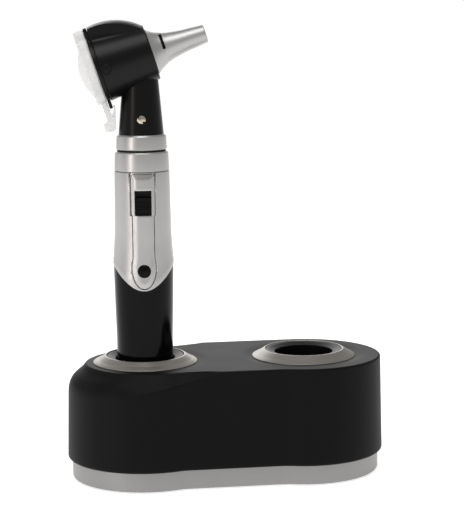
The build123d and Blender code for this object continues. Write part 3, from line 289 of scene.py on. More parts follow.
# ---------------------------------------------------------------- effects and finishes
class Effects:
    """Shader node groups that several finishes share."""

    @staticmethod
    def start(name: str, inputs: dict[str, float], outputs: dict[str, str]) -> bpy.types.NodeTree:
        """Make an empty group with float inputs and typed outputs."""
        group = bpy.data.node_groups.new(name, "ShaderNodeTree")
        for label, value in inputs.items():
            socket = group.interface.new_socket(label, in_out="INPUT", socket_type="NodeSocketFloat")
            socket.default_value = value
        for label, kind in outputs.items():
            group.interface.new_socket(label, in_out="OUTPUT", socket_type=kind)
        return group

    @classmethod
    def grain(cls) -> bpy.types.NodeTree:
        """Moulded or sprayed grain: fine noise for height, and slow noise that shifts the roughness.

        Returns:
            Group with Size, Gloss and Spread inputs, and Height, Roughness and Mask outputs.
        """
        group = cls.start(
            "fine_grain",
            {"Size": 2200.0, "Gloss": 0.4, "Spread": 0.08},
            {"Height": "NodeSocketFloat", "Roughness": "NodeSocketFloat", "Mask": "NodeSocketFloat"},
        )
        nodes, links = group.nodes, group.links
        source = nodes.new("NodeGroupInput")
        result = nodes.new("NodeGroupOutput")
        place = nodes.new("ShaderNodeTexCoord")
        fine = nodes.new("ShaderNodeTexNoise")
        fine.inputs["Detail"].default_value = 3.0
        slow = nodes.new("ShaderNodeTexNoise")
        slow.inputs["Scale"].default_value = 38.0
        slow.inputs["Detail"].default_value = 4.0
        centred = nodes.new("ShaderNodeMath")
        centred.operation = "SUBTRACT"
        centred.inputs[1].default_value = 0.5
        spread = nodes.new("ShaderNodeMath")
        spread.operation = "MULTIPLY"
        total = nodes.new("ShaderNodeMath")
        total.operation = "ADD"
        total.use_clamp = True
        links.new(place.outputs["Object"], fine.inputs["Vector"])
        links.new(place.outputs["Object"], slow.inputs["Vector"])
        links.new(source.outputs["Size"], fine.inputs["Scale"])
        links.new(slow.outputs["Fac"], centred.inputs[0])
        links.new(centred.outputs[0], spread.inputs[0])
        links.new(source.outputs["Spread"], spread.inputs[1])
        links.new(spread.outputs[0], total.inputs[0])
        links.new(source.outputs["Gloss"], total.inputs[1])
        links.new(fine.outputs["Fac"], result.inputs["Height"])
        links.new(total.outputs[0], result.inputs["Roughness"])
        links.new(slow.outputs["Fac"], result.inputs["Mask"])
        return group

    @classmethod
    def brushing(cls) -> bpy.types.NodeTree:
        """Turned or brushed lines: noise stretched across the object's height.

        Returns:
            Group with Lines and Gloss inputs, and Height and Roughness outputs.
        """
        group = cls.start(
            "brushed_lines",
            {"Lines": 900.0, "Gloss": 0.3},
            {"Height": "NodeSocketFloat", "Roughness": "NodeSocketFloat"},
        )
        nodes, links = group.nodes, group.links
        source = nodes.new("NodeGroupInput")
        result = nodes.new("NodeGroupOutput")
        place = nodes.new("ShaderNodeTexCoord")
        stretch = nodes.new("ShaderNodeMapping")
        stretch.inputs["Scale"].default_value = (0.02, 0.02, 1.0)
        lines = nodes.new("ShaderNodeTexNoise")
        lines.inputs["Detail"].default_value = 2.0
        share = nodes.new("ShaderNodeMath")
        share.operation = "MULTIPLY_ADD"
        share.inputs[1].default_value = 0.12
        share.use_clamp = True
        links.new(place.outputs["Object"], stretch.inputs["Vector"])
        links.new(stretch.outputs["Vector"], lines.inputs["Vector"])
        links.new(source.outputs["Lines"], lines.inputs["Scale"])
        links.new(lines.outputs["Fac"], share.inputs[0])
        links.new(source.outputs["Gloss"], share.inputs[2])
        links.new(lines.outputs["Fac"], result.inputs["Height"])
        links.new(share.outputs[0], result.inputs["Roughness"])
        return group


@dataclass(frozen=True)
class Finish:
    """One opaque finish with grain, gloss and an optional clear coat.

    Attributes:
        name: name of the material.
        colour: base colour, linear.
        tint: colour in the slow patches, linear.
        roughness: middle roughness.
        spread: how far the roughness drifts.
        metallic: share of metal.
        grain: cells of the grain for each metre.
        depth: height of the grain in metres.
        coat: weight of the clear coat.
        coat_roughness: roughness of that coat.
        specular: specular level.
    """

    name: str
    colour: tuple[float, float, float]
    tint: tuple[float, float, float]
    roughness: float
    spread: float = 0.06
    metallic: float = 0.0
    grain: float = 2200.0
    depth: float = 0.00001
    coat: float = 0.0
    coat_roughness: float = 0.05
    specular: float = 0.5

    def build(self, group: bpy.types.NodeTree) -> bpy.types.Material:
        """Make the material from the shared grain group.

        Args:
            group: the fine grain group.

        Returns:
            The material.
        """
        material = bpy.data.materials.new(self.name)
        material.use_nodes = True
        nodes, links = material.node_tree.nodes, material.node_tree.links
        shader = nodes["Principled BSDF"]
        effect = nodes.new("ShaderNodeGroup")
        effect.node_tree = group
        effect.inputs["Size"].default_value = self.grain
        effect.inputs["Gloss"].default_value = self.roughness
        effect.inputs["Spread"].default_value = self.spread * 2
        blend = nodes.new("ShaderNodeMix")
        blend.data_type = "RGBA"
        blend.inputs["A"].default_value = (*self.colour, 1)
        blend.inputs["B"].default_value = (*self.tint, 1)
        bump = nodes.new("ShaderNodeBump")
        bump.inputs["Distance"].default_value = self.depth
        bump.inputs["Strength"].default_value = 0.6
        links.new(effect.outputs["Mask"], blend.inputs["Factor"])
        links.new(blend.outputs["Result"], shader.inputs["Base Color"])
        links.new(effect.outputs["Roughness"], shader.inputs["Roughness"])
        links.new(effect.outputs["Height"], bump.inputs["Height"])
        links.new(bump.outputs["Normal"], shader.inputs["Normal"])
        shader.inputs["Metallic"].default_value = self.metallic
        shader.inputs["Coat Weight"].default_value = self.coat
        shader.inputs["Coat Roughness"].default_value = self.coat_roughness
        shader.inputs["Specular IOR Level"].default_value = self.specular
        return material


@dataclass(frozen=True)
class ClearFinish:
    """A clear moulding or lens, with faint haze.

    Attributes:
        name: name of the material.
        colour: tint of the clear material, linear.
        roughness: haze of the surface.
        clearness: share of light that is bent through the material.
        ior: refractive index.
        cover: how much of what is behind is covered.
    """

    name: str
    colour: tuple[float, float, float]
    roughness: float
    clearness: float
    ior: float
    cover: float

    def build(self, group: bpy.types.NodeTree) -> bpy.types.Material:
        """Make the material from the shared grain group.

        Args:
            group: the fine grain group.

        Returns:
            The material.
        """
        material = bpy.data.materials.new(self.name)
        material.use_nodes = True
        nodes, links = material.node_tree.nodes, material.node_tree.links
        shader = nodes["Principled BSDF"]
        effect = nodes.new("ShaderNodeGroup")
        effect.node_tree = group
        effect.inputs["Size"].default_value = 900.0
        effect.inputs["Gloss"].default_value = self.roughness
        effect.inputs["Spread"].default_value = 0.03
        links.new(effect.outputs["Roughness"], shader.inputs["Roughness"])
        shader.inputs["Base Color"].default_value = (*self.colour, 1)
        shader.inputs["Transmission Weight"].default_value = self.clearness
        shader.inputs["IOR"].default_value = self.ior
        shader.inputs["Alpha"].default_value = self.cover
        return material


@dataclass(frozen=True)
class BrushedFinish:
    """Bare metal with turned lines.

    Attributes:
        name: name of the material.
        colour: colour of the metal, linear.
        roughness: lowest roughness.
        lines: lines for each metre.
    """

    name: str
    colour: tuple[float, float, float]
    roughness: float
    lines: float = 900.0

    def build(self, group: bpy.types.NodeTree) -> bpy.types.Material:
        """Make the material from the shared brushing group.

        Args:
            group: the brushed lines group.

        Returns:
            The material.
        """
        material = bpy.data.materials.new(self.name)
        material.use_nodes = True
        nodes, links = material.node_tree.nodes, material.node_tree.links
        shader = nodes["Principled BSDF"]
        effect = nodes.new("ShaderNodeGroup")
        effect.node_tree = group
        effect.inputs["Lines"].default_value = self.lines
        effect.inputs["Gloss"].default_value = self.roughness
        bump = nodes.new("ShaderNodeBump")
        bump.inputs["Distance"].default_value = 0.000008
        bump.inputs["Strength"].default_value = 0.5
        links.new(effect.outputs["Roughness"], shader.inputs["Roughness"])
        links.new(effect.outputs["Height"], bump.inputs["Height"])
        links.new(bump.outputs["Normal"], shader.inputs["Normal"])
        shader.inputs["Base Color"].default_value = (*self.colour, 1)
        shader.inputs["Metallic"].default_value = 1.0
        return material


class Palette:
    """Every finish of the object, made once."""

    def __init__(self) -> None:
        """Build the node groups and all materials."""
        grain = Effects.grain()
        brushing = Effects.brushing()
        grained = (
            Finish("moulded_black", (0.0012, 0.0012, 0.0012), (0.0020, 0.0020, 0.0020), 0.54, 0.05, depth=0.00003,
                   grain=2600, specular=0.11),
            Finish("nose_silver", (0.40, 0.396, 0.392), (0.44, 0.435, 0.43), 0.42, 0.03, metallic=0.95, grain=5200,
                   depth=0.000005),
            Finish("nickel", (0.50, 0.44, 0.37), (0.54, 0.475, 0.40), 0.2, 0.02, metallic=1.0, grain=2000,
                   depth=0.000001),
            Finish("satin_silver", (0.395, 0.388, 0.384), (0.435, 0.427, 0.423), 0.34, 0.03, metallic=0.95, grain=5200,
                   depth=0.000005),
            Finish("band_silver", (0.26, 0.256, 0.252), (0.31, 0.306, 0.302), 0.44, 0.06, metallic=0.9, grain=1500,
                   depth=0.00003),
            Finish("bezel_silver", (0.275, 0.257, 0.232), (0.305, 0.286, 0.26), 0.36, 0.04, metallic=0.92, grain=3800,
                   depth=0.000006),
            Finish("gloss_black", (0.0010, 0.0010, 0.0010), (0.0018, 0.0018, 0.0018), 0.13, 0.03, grain=1200,
                   depth=0.000002, specular=0.10),
            Finish("semi_gloss_black", (0.0028, 0.0025, 0.0024), (0.0038, 0.0034, 0.0032), 0.28, 0.03, grain=3400,
                   depth=0.000004, specular=0.14),
            Finish("satin_black", (0.0008, 0.0008, 0.0008), (0.0014, 0.0014, 0.0014), 0.32, 0.04, grain=3000,
                   depth=0.000008, specular=0.2),
            Finish("liner_black", (0.0022, 0.0022, 0.0022), (0.0032, 0.0032, 0.0032), 0.4, 0.04, grain=1200,
                   depth=0.000002, specular=0.12),
            Finish("dark_plastic", (0.0018, 0.0018, 0.0018), (0.0028, 0.0028, 0.0028), 0.42, 0.05, specular=0.13),
            Finish("soft_rubber", (0.006, 0.006, 0.006), (0.009, 0.009, 0.009), 0.7, 0.08, depth=0.00003,
                   specular=0.2),
            Finish("solder_mask", (0.012, 0.09, 0.035), (0.018, 0.12, 0.05), 0.35, 0.05),
            Finish("cell_wrap", (0.03, 0.09, 0.24), (0.04, 0.11, 0.28), 0.3, 0.04, metallic=0.2),
        )
        brushed = (
            BrushedFinish("bright_steel", (0.56, 0.56, 0.57), 0.25),
            BrushedFinish("warm_nickel", (0.66, 0.56, 0.46), 0.16),
            BrushedFinish("plated_brass", (0.75, 0.56, 0.26), 0.22),
        )
        clear = (
            ClearFinish("clear_acrylic", (0.80, 0.80, 0.79), 0.3, 0.0, 1.45, 0.6),
            ClearFinish("polished_lens", (0.70, 0.70, 0.70), 0.05, 0.0, 1.45, 0.25),
            ClearFinish("light_fibre", (0.92, 0.94, 0.92), 0.2, 0.6, 1.45, 1.0),
        )
        self.made: dict[str, bpy.types.Material] = {}
        for finish in (*grained, *clear):
            self.made[finish.name] = finish.build(grain)
        for finish in brushed:
            self.made[finish.name] = finish.build(brushing)

    def __getitem__(self, name: str) -> bpy.types.Material:
        """Material of a name."""
        return self.made[name]

    def dress_nodes(self) -> None:
        """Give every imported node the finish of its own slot."""
        by_slot = {
            "shell_black": "moulded_black", "trim_silver": "band_silver", "plate_steel": "bright_steel",
            "foot_rubber": "soft_rubber", "screw_steel": "bright_steel", "bezel_silver": "bezel_silver",
            "liner_gloss": "liner_black", "moulding_black": "dark_plastic", "board_green": "solder_mask",
            "component_dark": "dark_plastic", "contact_brass": "plated_brass", "spring_steel": "bright_steel",
            "tube_gloss": "gloss_black", "sleeve_silver": "satin_silver", "strip_silver": "satin_silver",
            "inlay_black": "gloss_black", "slider_black": "dark_plastic", "cell_wrap": "cell_wrap",
            "washer_black": "soft_rubber", "collar_silver": "satin_silver", "neck_black": "semi_gloss_black",
            "screw_nickel": "warm_nickel", "head_black": "satin_black", "flange_black": "satin_black",
            "clear_acrylic": "clear_acrylic", "lens_glass": "polished_lens", "nose_silver": "satin_silver",
            "fibre_clear": "light_fibre", "lamp_glass": "polished_lens",
        }
        slots = {entry["node"]: entry["material_slot"] for entry in frame["record"]["subparts"]}
        for node, piece in frame["nodes"].items():
            material = self[by_slot[slots[node]]]
            for slot in piece.material_slots:
                slot.material = material


# ---------------------------------------------------------------- where things are
class Layout:
    """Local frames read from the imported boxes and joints."""

    nose_rear = 6.3

    def __init__(self) -> None:
        """Read the handle's axis, the head's centre and the charger's heights."""
        joints = {joint["name"]: joint for joint in frame["joints"]}
        cap_low, cap_high = (np.array(corner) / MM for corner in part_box("tail_cap"))
        shell_high = np.array(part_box("base_shell")[1]) / MM
        self.foot_z = float(cap_low[2])
        self.axis_x = float((cap_low[0] + cap_high[0]) / 2)
        self.shell_low_z = float(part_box("trim_band")[1][2] / MM)
        self.base_top_z = float(shell_high[2])
        self.lobe_radius = float(shell_high[1])
        nose = joints["nose_twist"]
        optical = np.array(nose["axis"], float)
        optical /= np.linalg.norm(optical)
        flat = np.array([optical[0], optical[1], 0.0])
        flat /= np.linalg.norm(flat)
        across = np.array([-flat[1], flat[0], 0.0])
        upright = np.cross(optical, across)
        rise = np.array([0.0, 0.0, 1.0])
        self.handle = Placement(np.array([self.axis_x, 0.0, self.foot_z]), flat, across, rise)
        centre = np.array(nose["pos_m"]) / MM - optical * self.nose_rear
        self.head = Placement(centre, across, upright, optical)
        self.wells = {
            "left": Placement(np.array([self.axis_x, 0, 0.0]), *np.eye(3)),
            "right": Placement(np.array([-self.axis_x, 0, 0.0]), *np.eye(3)),
        }


# ---------------------------------------------------------------- charger base
@dataclass
class ChargerBase:
    """Shell, trim band, bezel rings and liners of the charger.

    Attributes:
        where: shared layout.
        palette: finishes.
        draft: how much narrower each lobe is at the top.
        waist: hollow of the front between the lobes.
        drop: height of the shoulder at the far left.
        inset: how far the shoulder draws in at the far left.
        edge: radius of the top edge where there is no shoulder.
        crown: rise of the top away from the wells.
        ring_outer: outer radius of the bezel rings.
        ring_inner: inner radius of the bezel rings.
        ring_rise: height of the bezel rings.
        well_radius: bore of the wells.
    """

    where: Layout
    palette: Palette
    draft: float = 0.8
    waist: float = 2.8
    drop: float = 13.3
    inset: float = 7.8
    edge: float = 1.1
    crown: float = 0.7
    ring_outer: float = 26.0
    ring_inner: float = 19.3
    ring_rise: float = 3.7
    well_radius: float = 14.75
    liner_wall: float = 1.65
    trim_inset: float = 2.2
    trim_wall: float = 2.4
    spring_turns: int = 4
    spring_wire: float = 0.28
    spring_keep: float = 0.46

    def half_outline(self, radius: float, side: int) -> tuple[Array, Array]:
        """Outline of one half, from the front's middle round the lobe to the back's middle.

        The front is y = -max(circle, flat waist) with a rounded corner, then a half circle, then the
        straight back.

        Args:
            radius: radius of the lobe.
            side: -1 for the left half, 1 for the right.

        Returns:
            Points (n, 2) and outward normals (n, 2).
        """
        reach = abs(self.where.axis_x)
        across = np.linspace(0, reach, 90, endpoint=False)
        circle = np.sqrt(np.maximum(radius**2 - (reach - across) ** 2, 0))
        front = smooth_max(circle, np.full_like(circle, radius - self.waist), np.full_like(circle, 1.2))
        angle = np.linspace(-pi / 2, pi / 2, 180, endpoint=False)
        back = np.linspace(reach, 0, 50)
        x = np.concatenate([across, reach + radius * np.cos(angle), back])
        y = np.concatenate([-front, radius * np.sin(angle), np.full_like(back, radius)])
        tangent = np.gradient(np.stack([x, y], -1), axis=0)
        tangent[0] = (1, 0)
        tangent[-1] = (-1, 0)
        tangent /= np.linalg.norm(tangent, axis=1)[:, None]
        normal = np.stack([tangent[:, 1], -tangent[:, 0]], -1)
        mirror = np.array([side, 1])
        return np.stack([x, y], -1) * mirror, normal * mirror

    def shoulder(self, x: Array) -> tuple[Array, Array, Array]:
        """Depth, width and softness of the shoulder along the charger.

        Args:
            x: place along the charger, from its middle.

        Returns:
            Drop, inset and softness, each for every x. Softness is 1 on the left lobe's round shoulder
            and 0 where the shoulder starts at a crease.
        """
        from_well = x - self.where.axis_x
        drop = np.clip((33.0 - from_well) * 0.2, 0, self.drop)
        share = drop / self.drop
        inset = self.inset * np.sqrt(share)
        soft = 1 - smoothstep(-24.0, -6.0, from_well)
        return drop, inset, soft

    def top_height(self, points: Array) -> Array:
        """Height of the top plate: level at the rings and slightly crowned between and beyond them."""
        reach = self.where.axis_x
        left = np.hypot(points[..., 0] - reach, points[..., 1])
        right = np.hypot(points[..., 0] + reach, points[..., 1])
        away = smoothstep(self.ring_outer - 0.5, self.ring_outer + 6, np.minimum(left, right))
        along = smoothstep(6, 34, points[..., 0] - reach)
        return self.where.base_top_z + self.crown * away * along

    def shell(self) -> None:
        """Outer skin of the shell: bottom edge, drafted wall, shoulder and top plate.

        Each column starts under the bottom edge and ends at a well's hole. Its shoulder is a blend of a
        quarter circle, a straight slope and an S-shaped flare.
        """
        step = np.linspace(0, 1, 46)
        arc_in, arc_up = 1 - np.cos(step * pi / 2), np.sin(step * pi / 2)
        flare_knots = np.array([0, 0.2, 0.4, 0.6, 0.78, 0.9, 1.0])
        flare_in = curve_through(flare_knots, np.array([0, 0.03, 0.12, 0.33, 0.62, 0.84, 1.0]), step)
        flare_up = curve_through(flare_knots, np.array([0, 0.2, 0.39, 0.585, 0.74, 0.86, 1.0]), step)
        low = self.where.shell_low_z
        hole = self.well_radius + self.liner_wall + 0.1
        grids = []
        for side in (-1, 1):
            outline, normal = self.half_outline(self.where.lobe_radius, side)
            centre = np.array([side * abs(self.where.axis_x), 0.0])
            drop, inset, soft = (value[:, None] for value in self.shoulder(outline[:, 0]))
            slope = smoothstep(0.0, 3.0, inset)
            run_in = (inset + self.edge) * ((1 - slope) * arc_in + slope * ((1 - soft) * step + soft * flare_in))
            run_up = (drop + self.edge) * ((1 - slope) * arc_up + slope * ((1 - soft) * step + soft * flare_up))
            bend = np.linspace(0, pi / 2, 8)
            round_in = np.concatenate([[3.4, 2.4], 1.4 * (1 - np.sin(bend))])
            round_z = np.concatenate([[low, low], low + 1.4 * (1 - np.cos(bend))])
            plate_in = outline[:, None, :] - normal[:, None, :] * (self.draft + inset + self.edge)[..., None]
            toward = outline - centre
            edge_point = centre + toward / np.linalg.norm(toward, axis=1)[:, None] * hole
            share = np.linspace(0, 1, 26)[1:][None, :, None] ** 1.2
            plate = plate_in * (1 - share) + edge_point[:, None, :] * share
            top = self.top_height(plate_in)
            crease = top - drop - self.edge
            wall_share = np.concatenate([np.linspace(0, 0.9, 10), np.linspace(0.92, 0.995, 8)])[1:][None, :]
            wall_z = (low + 1.4) * (1 - wall_share) + crease * wall_share
            wall_in = self.draft * wall_share
            inward = np.concatenate(
                [np.broadcast_to(round_in, (len(outline), len(round_in))), wall_in + 0 * wall_z, self.draft + run_in],
                axis=1,
            )
            height = np.concatenate(
                [np.broadcast_to(round_z, (len(outline), len(round_z))), wall_z, crease + run_up], axis=1
            )
            side_xy = outline[:, None, :] - normal[:, None, :] * inward[..., None]
            xy = np.concatenate([side_xy, plate], axis=1)
            z = np.concatenate([height, self.top_height(plate)], axis=1)
            kernel = np.exp(-0.5 * (np.arange(-3, 4) / 1.3) ** 2)
            kernel /= kernel.sum()
            grid = np.concatenate([xy, z[..., None]], -1)
            core = sum(weight * np.roll(grid, shift, axis=1) for shift, weight in zip(range(-3, 4), kernel))
            grid[:, 12:-4] = core[:, 12:-4]
            drop_in = grid[:, -1:, :] - np.array([0, 0, 2.6])
            grid = np.concatenate([grid, drop_in], axis=1)
            grid[0, :-26, 0] = 0.0
            grid[-1, :-26, 0] = 0.0
            grids.append((grid, True))
            first, last = grid[0, -27], grid[-1, -27]
            middle_y = np.linspace(last[1], first[1], 60)
            middle = np.stack([np.zeros(60), middle_y], -1)
            middle_toward = middle - centre
            middle_edge = centre + middle_toward / np.linalg.norm(middle_toward, axis=1)[:, None] * hole
            share = np.linspace(0, 1, 26)[None, :, None] ** 1.2
            bridge = middle[:, None, :] * (1 - share) + middle_edge[:, None, :] * share
            bridge = np.concatenate([bridge, self.top_height(bridge)[..., None]], -1)
            bridge[0] = grid[-1, -27:-1]
            bridge[-1] = grid[0, -27:-1]
            bridge = np.concatenate([bridge, bridge[:, -1:, :] - np.array([0, 0, 2.6])], axis=1)
            grids.append((bridge, False))
        points = np.concatenate([grid.reshape(-1, 3) for grid, _ in grids])
        faces = []
        offset = 0
        for grid, _ in grids:
            faces.append(grid_faces(grid.shape[0], grid.shape[1], False, False) + offset)
            offset += grid.shape[0] * grid.shape[1]
        piece = make_piece("base_shell_skin", points * MM, np.concatenate(faces), self.palette["moulded_black"])
        attach(piece, "charger_base", "shell_black", "base_shell")

    def band(self) -> None:
        """Silver trim band: a rounded profile carried along the inset outline."""
        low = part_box("trim_band")[0][2] / MM
        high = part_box("trim_band")[1][2] / MM
        section = rounded(
            [
                (self.trim_wall, high, 0), (0.0, high, 0.2), (0.0, low, 1.5), (self.trim_wall, low, 0.3),
                (self.trim_wall, high, 0),
            ],
            steps=9,
        )[:-1]
        radius = self.where.lobe_radius - self.trim_inset
        left, left_normal = self.half_outline(radius, -1)
        right, right_normal = self.half_outline(radius, 1)
        outline = np.concatenate([left, right[::-1][1:-1]])
        normal = np.concatenate([left_normal, right_normal[::-1][1:-1]])
        xy = outline[:, None, :] - normal[:, None, :] * section[None, :, :1]
        z = np.broadcast_to(section[None, :, 1], xy.shape[:2])
        points = np.concatenate([xy, z[..., None]], -1)
        faces = grid_faces(len(outline), len(section), True, True)
        piece = make_piece("trim_band_skin", points * MM, faces, self.palette["band_silver"], Shading.CREASED)
        attach(piece, "charger_base", "trim_silver", "trim_band")

    def wells(self) -> None:
        """Bezel rings and glossy liners, turned from rounded profiles."""
        top = self.where.base_top_z
        lip = top + self.ring_rise
        bore = self.ring_inner + 0.1
        flange = top + 3.3
        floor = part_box("well_liner_right")[0][2] / MM + 2.0
        outside = self.well_radius + self.liner_wall
        ring = rounded([
            (bore, top, 0), (self.ring_outer, top, 0), (self.ring_outer, top + 0.35, 0.2),
            (23.2, top + 1.75, 9.0), (20.1, lip - 0.05, 0.9), (bore, lip, 0.35), (bore, top, 0),
        ])[:-1]
        liner = rounded([
            (0.001, floor - 2.0, 0), (outside, floor - 2.0, 0.6), (outside, top, 0), (self.ring_inner, top, 0),
            (self.ring_inner, flange, 0.4), (self.well_radius + 3.2, flange, 0.6),
            (self.well_radius, flange - 1.2, 0.7), (self.well_radius, floor, 0.8), (0.001, floor, 0),
        ])
        for side, well in self.where.wells.items():
            piece = revolve(f"bezel_{side}", ring, well, self.palette["bezel_silver"], segments=200)
            attach(piece, "charger_base", "bezel_silver", f"well_ring_{side}")
            if side == "left":
                piece = revolve("liner_left", liner, well, self.palette["liner_black"], False, 160, Shading.CREASED)
                attach(piece, "charger_base", "liner_gloss", "well_liner_left")

    def springs(self) -> None:
        """Springs under the charging pins: a round wire along a helix.

        Centre line = (R cos t, R sin t, rise of t), and the wire's circle lies across it.
        """
        turn = np.linspace(0, 2 * pi * self.spring_turns, 32 * self.spring_turns + 1)[:, None]
        around = np.linspace(0, 2 * pi, 10, endpoint=False)[None, :]
        for node in [f"pin_spring_{side}_{role}" for side in ("left", "right") for role in ("centre", "ring")]:
            low, high = (np.array(corner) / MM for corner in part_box(node))
            wire = self.spring_wire / 2
            middle = (low + high) / 2
            reach = (high[0] - low[0]) / 2 - wire
            away = reach + wire * np.cos(around)
            rise = low[2] + wire + (high[2] - low[2] - 2 * wire) * turn / turn[-1]
            points = np.stack([middle[0] + away * np.cos(turn), middle[1] + away * np.sin(turn),
                               rise + wire * np.sin(around)], -1)
            faces = grid_faces(len(turn), around.shape[1], False, True)
            piece = make_piece(f"{node}_coil", points * MM, faces, self.palette["bright_steel"])
            fill_ends(piece)
            attach(piece, "charger_base", "spring_steel", node)
            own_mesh(piece)

    def build(self) -> None:
        """Make all pieces of the charger."""
        self.springs()
        self.shell()
        self.band()
        self.wells()


# ---------------------------------------------------------------- handle
@dataclass
class Handle:
    """Tube, grip sleeve, switch strip, thumb switch and the rings of the handle.

    Attributes:
        where: shared layout.
        palette: finishes.
        grip_low: lowest point of the sleeve's curved edge.
        grip_rise: how much higher that edge is at the sides.
        grip_top: top of the sleeve.
        strip_low: lower end of the strip.
        strip_high: top of the strip.
        strip_half: half width of the strip.
        strip_bulb: half width of its round end.
        bulb_height: height of that widest place.
        strip_proud: how far the strip stands out.
        window_width: width of the switch window.
        window_height: height of the switch window.
        window_middle: height of its middle.
    """

    where: Layout
    palette: Palette
    grip_low: float = 82.2
    grip_rise: float = 11.9
    grip_top: float = 140.5
    strip_low: float = 83.3
    strip_high: float = 139.7
    strip_half: float = 5.3
    strip_upper: float = 5.85
    strip_step: float = 119.6
    strip_corner: float = 1.5
    strip_bulb: float = 5.95
    bulb_height: float = 94.0
    strip_proud: float = 0.45
    window_width: float = 8.3
    window_height: float = 12.3
    window_middle: float = 125.6
    rib_count: int = 8
    tube_heights: tuple[float, ...] = (4.0, 20.0, 40.0, 52.8, 57.8, 65.8, 75.8, 85.8, 90.8, 97.0)
    tube_radii: tuple[float, ...] = (14.0, 14.0, 14.0, 14.0, 14.04, 14.26, 14.5, 14.72, 14.83, 14.9)
    sleeve_heights: tuple[float, ...] = (94.1, 96.3, 98.8, 103.5, 111.0, 118.5, 126.0, 133.4, 138.4, 140.5)
    sleeve_radii: tuple[float, ...] = (15.1, 15.06, 14.83, 14.48, 14.10, 14.01, 13.90, 13.78, 13.61, 13.50)

    def edge_height(self, x: Array) -> Array:
        """Height of the sleeve's lower edge: a parabola across the front."""
        return self.grip_low + self.grip_rise * np.clip(x / 15.1, -1, 1) ** 2

    def tube_skin(self, height: Array) -> Array:
        """Radius of the tube's outside at a height."""
        return curve_through(np.array(self.tube_heights), np.array(self.tube_radii), height)

    def skin(self, height: Array, x: Array) -> Array:
        """Radius of the sleeve's outside, whose flare follows the curved lower edge.

        The side profile is stretched down to the edge of each place, and eased so that the sleeve always
        starts a little proud of the tube.
        """
        low = self.edge_height(x)
        first = self.sleeve_heights[0]
        side_height = first + (height - low) * (self.grip_top - first) / (self.grip_top - low)
        radius = curve_through(np.array(self.sleeve_heights), np.array(self.sleeve_radii), side_height)
        ease = self.tube_skin(low) + 0.25 - self.sleeve_radii[0]
        return radius + ease * np.exp(-np.maximum(height - low, 0) / 8)

    def half_width(self, height: Array) -> Array:
        """Half width of the strip's outline: an upper step with round corners, straight sides and a round end."""
        swell = smoothstep(self.bulb_height + 5.5, self.bulb_height, height)
        width = self.strip_half + (self.strip_bulb - self.strip_half) * swell
        width = width + (self.strip_upper - self.strip_half) * smoothstep(
            self.strip_step - 0.3, self.strip_step + 0.3, height)
        corner = np.clip((height - self.strip_high + self.strip_corner) / self.strip_corner, 0, 1)
        width = width - self.strip_corner * (1 - np.sqrt(1 - corner**2))
        below = np.clip((self.bulb_height - height) / (self.bulb_height - self.strip_low), 0, 1)
        return width * np.sqrt(np.maximum(1 - below**2.15, 0))

    def outline_gap(self, x: Array, height: Array) -> Array:
        """Signed distance to the strip's outline, positive inside, from a dense run of outline points."""
        run = np.concatenate([
            self.strip_low + (self.bulb_height - self.strip_low) * (1 - np.cos(np.linspace(0, pi / 2, 90))),
            np.linspace(self.bulb_height, self.strip_high, 120)[1:],
        ])
        width = self.half_width(run)
        top = np.linspace(0, self.half_width(np.array([self.strip_high]))[0], 20)
        line = np.concatenate([np.stack([width, run], -1), np.stack([top, np.full(20, self.strip_high)], -1)])
        flat = np.stack([np.abs(x).ravel(), height.ravel()], -1)
        gap = np.empty(len(flat))
        for part in np.array_split(np.arange(len(flat)), max(1, len(flat) // 4000)):
            gap[part] = np.sqrt(((flat[part, None, :] - line[None]) ** 2).sum(-1).min(1))
        inside = (np.abs(x) < self.half_width(height)) & (height < self.strip_high) & (height > self.strip_low)
        return np.where(inside, 1.0, -1.0) * gap.reshape(x.shape)

    def in_window(self, x: Array, height: Array, grow: float) -> Array:
        """Mask of places inside the switch window, grown by a margin."""
        tall = np.abs(height - self.window_middle) < self.window_height / 2 + grow
        return (np.abs(x) < self.window_width / 2 + grow) & tall

    def tube(self) -> None:
        """Glossy tube: radius follows the tube's curve up to just above the sleeve's edge, then turns in."""
        angle = np.linspace(0, 2 * pi, 220, endpoint=False)[:, None]
        top = self.edge_height(np.sin(angle) * 15.1) + 1.2
        share = np.linspace(0, 1, 110)[None, :]
        height = 4.0 + (top - 4.0) * share
        radius = self.tube_skin(height)
        inner = np.full_like(angle, 12.6)
        radius = np.concatenate([radius, inner, inner], axis=1)
        height = np.concatenate([height, top, np.full_like(angle, 4.0)], axis=1)
        points = np.stack([radius * np.sin(angle), -radius * np.cos(angle), height], -1)
        faces = grid_faces(len(angle), radius.shape[1], True, True)
        piece = make_piece("battery_tube_skin", self.where.handle.place(points), faces,
                           self.palette["gloss_black"], Shading.CREASED)
        attach(piece, "handle", "tube_gloss", "battery_tube")

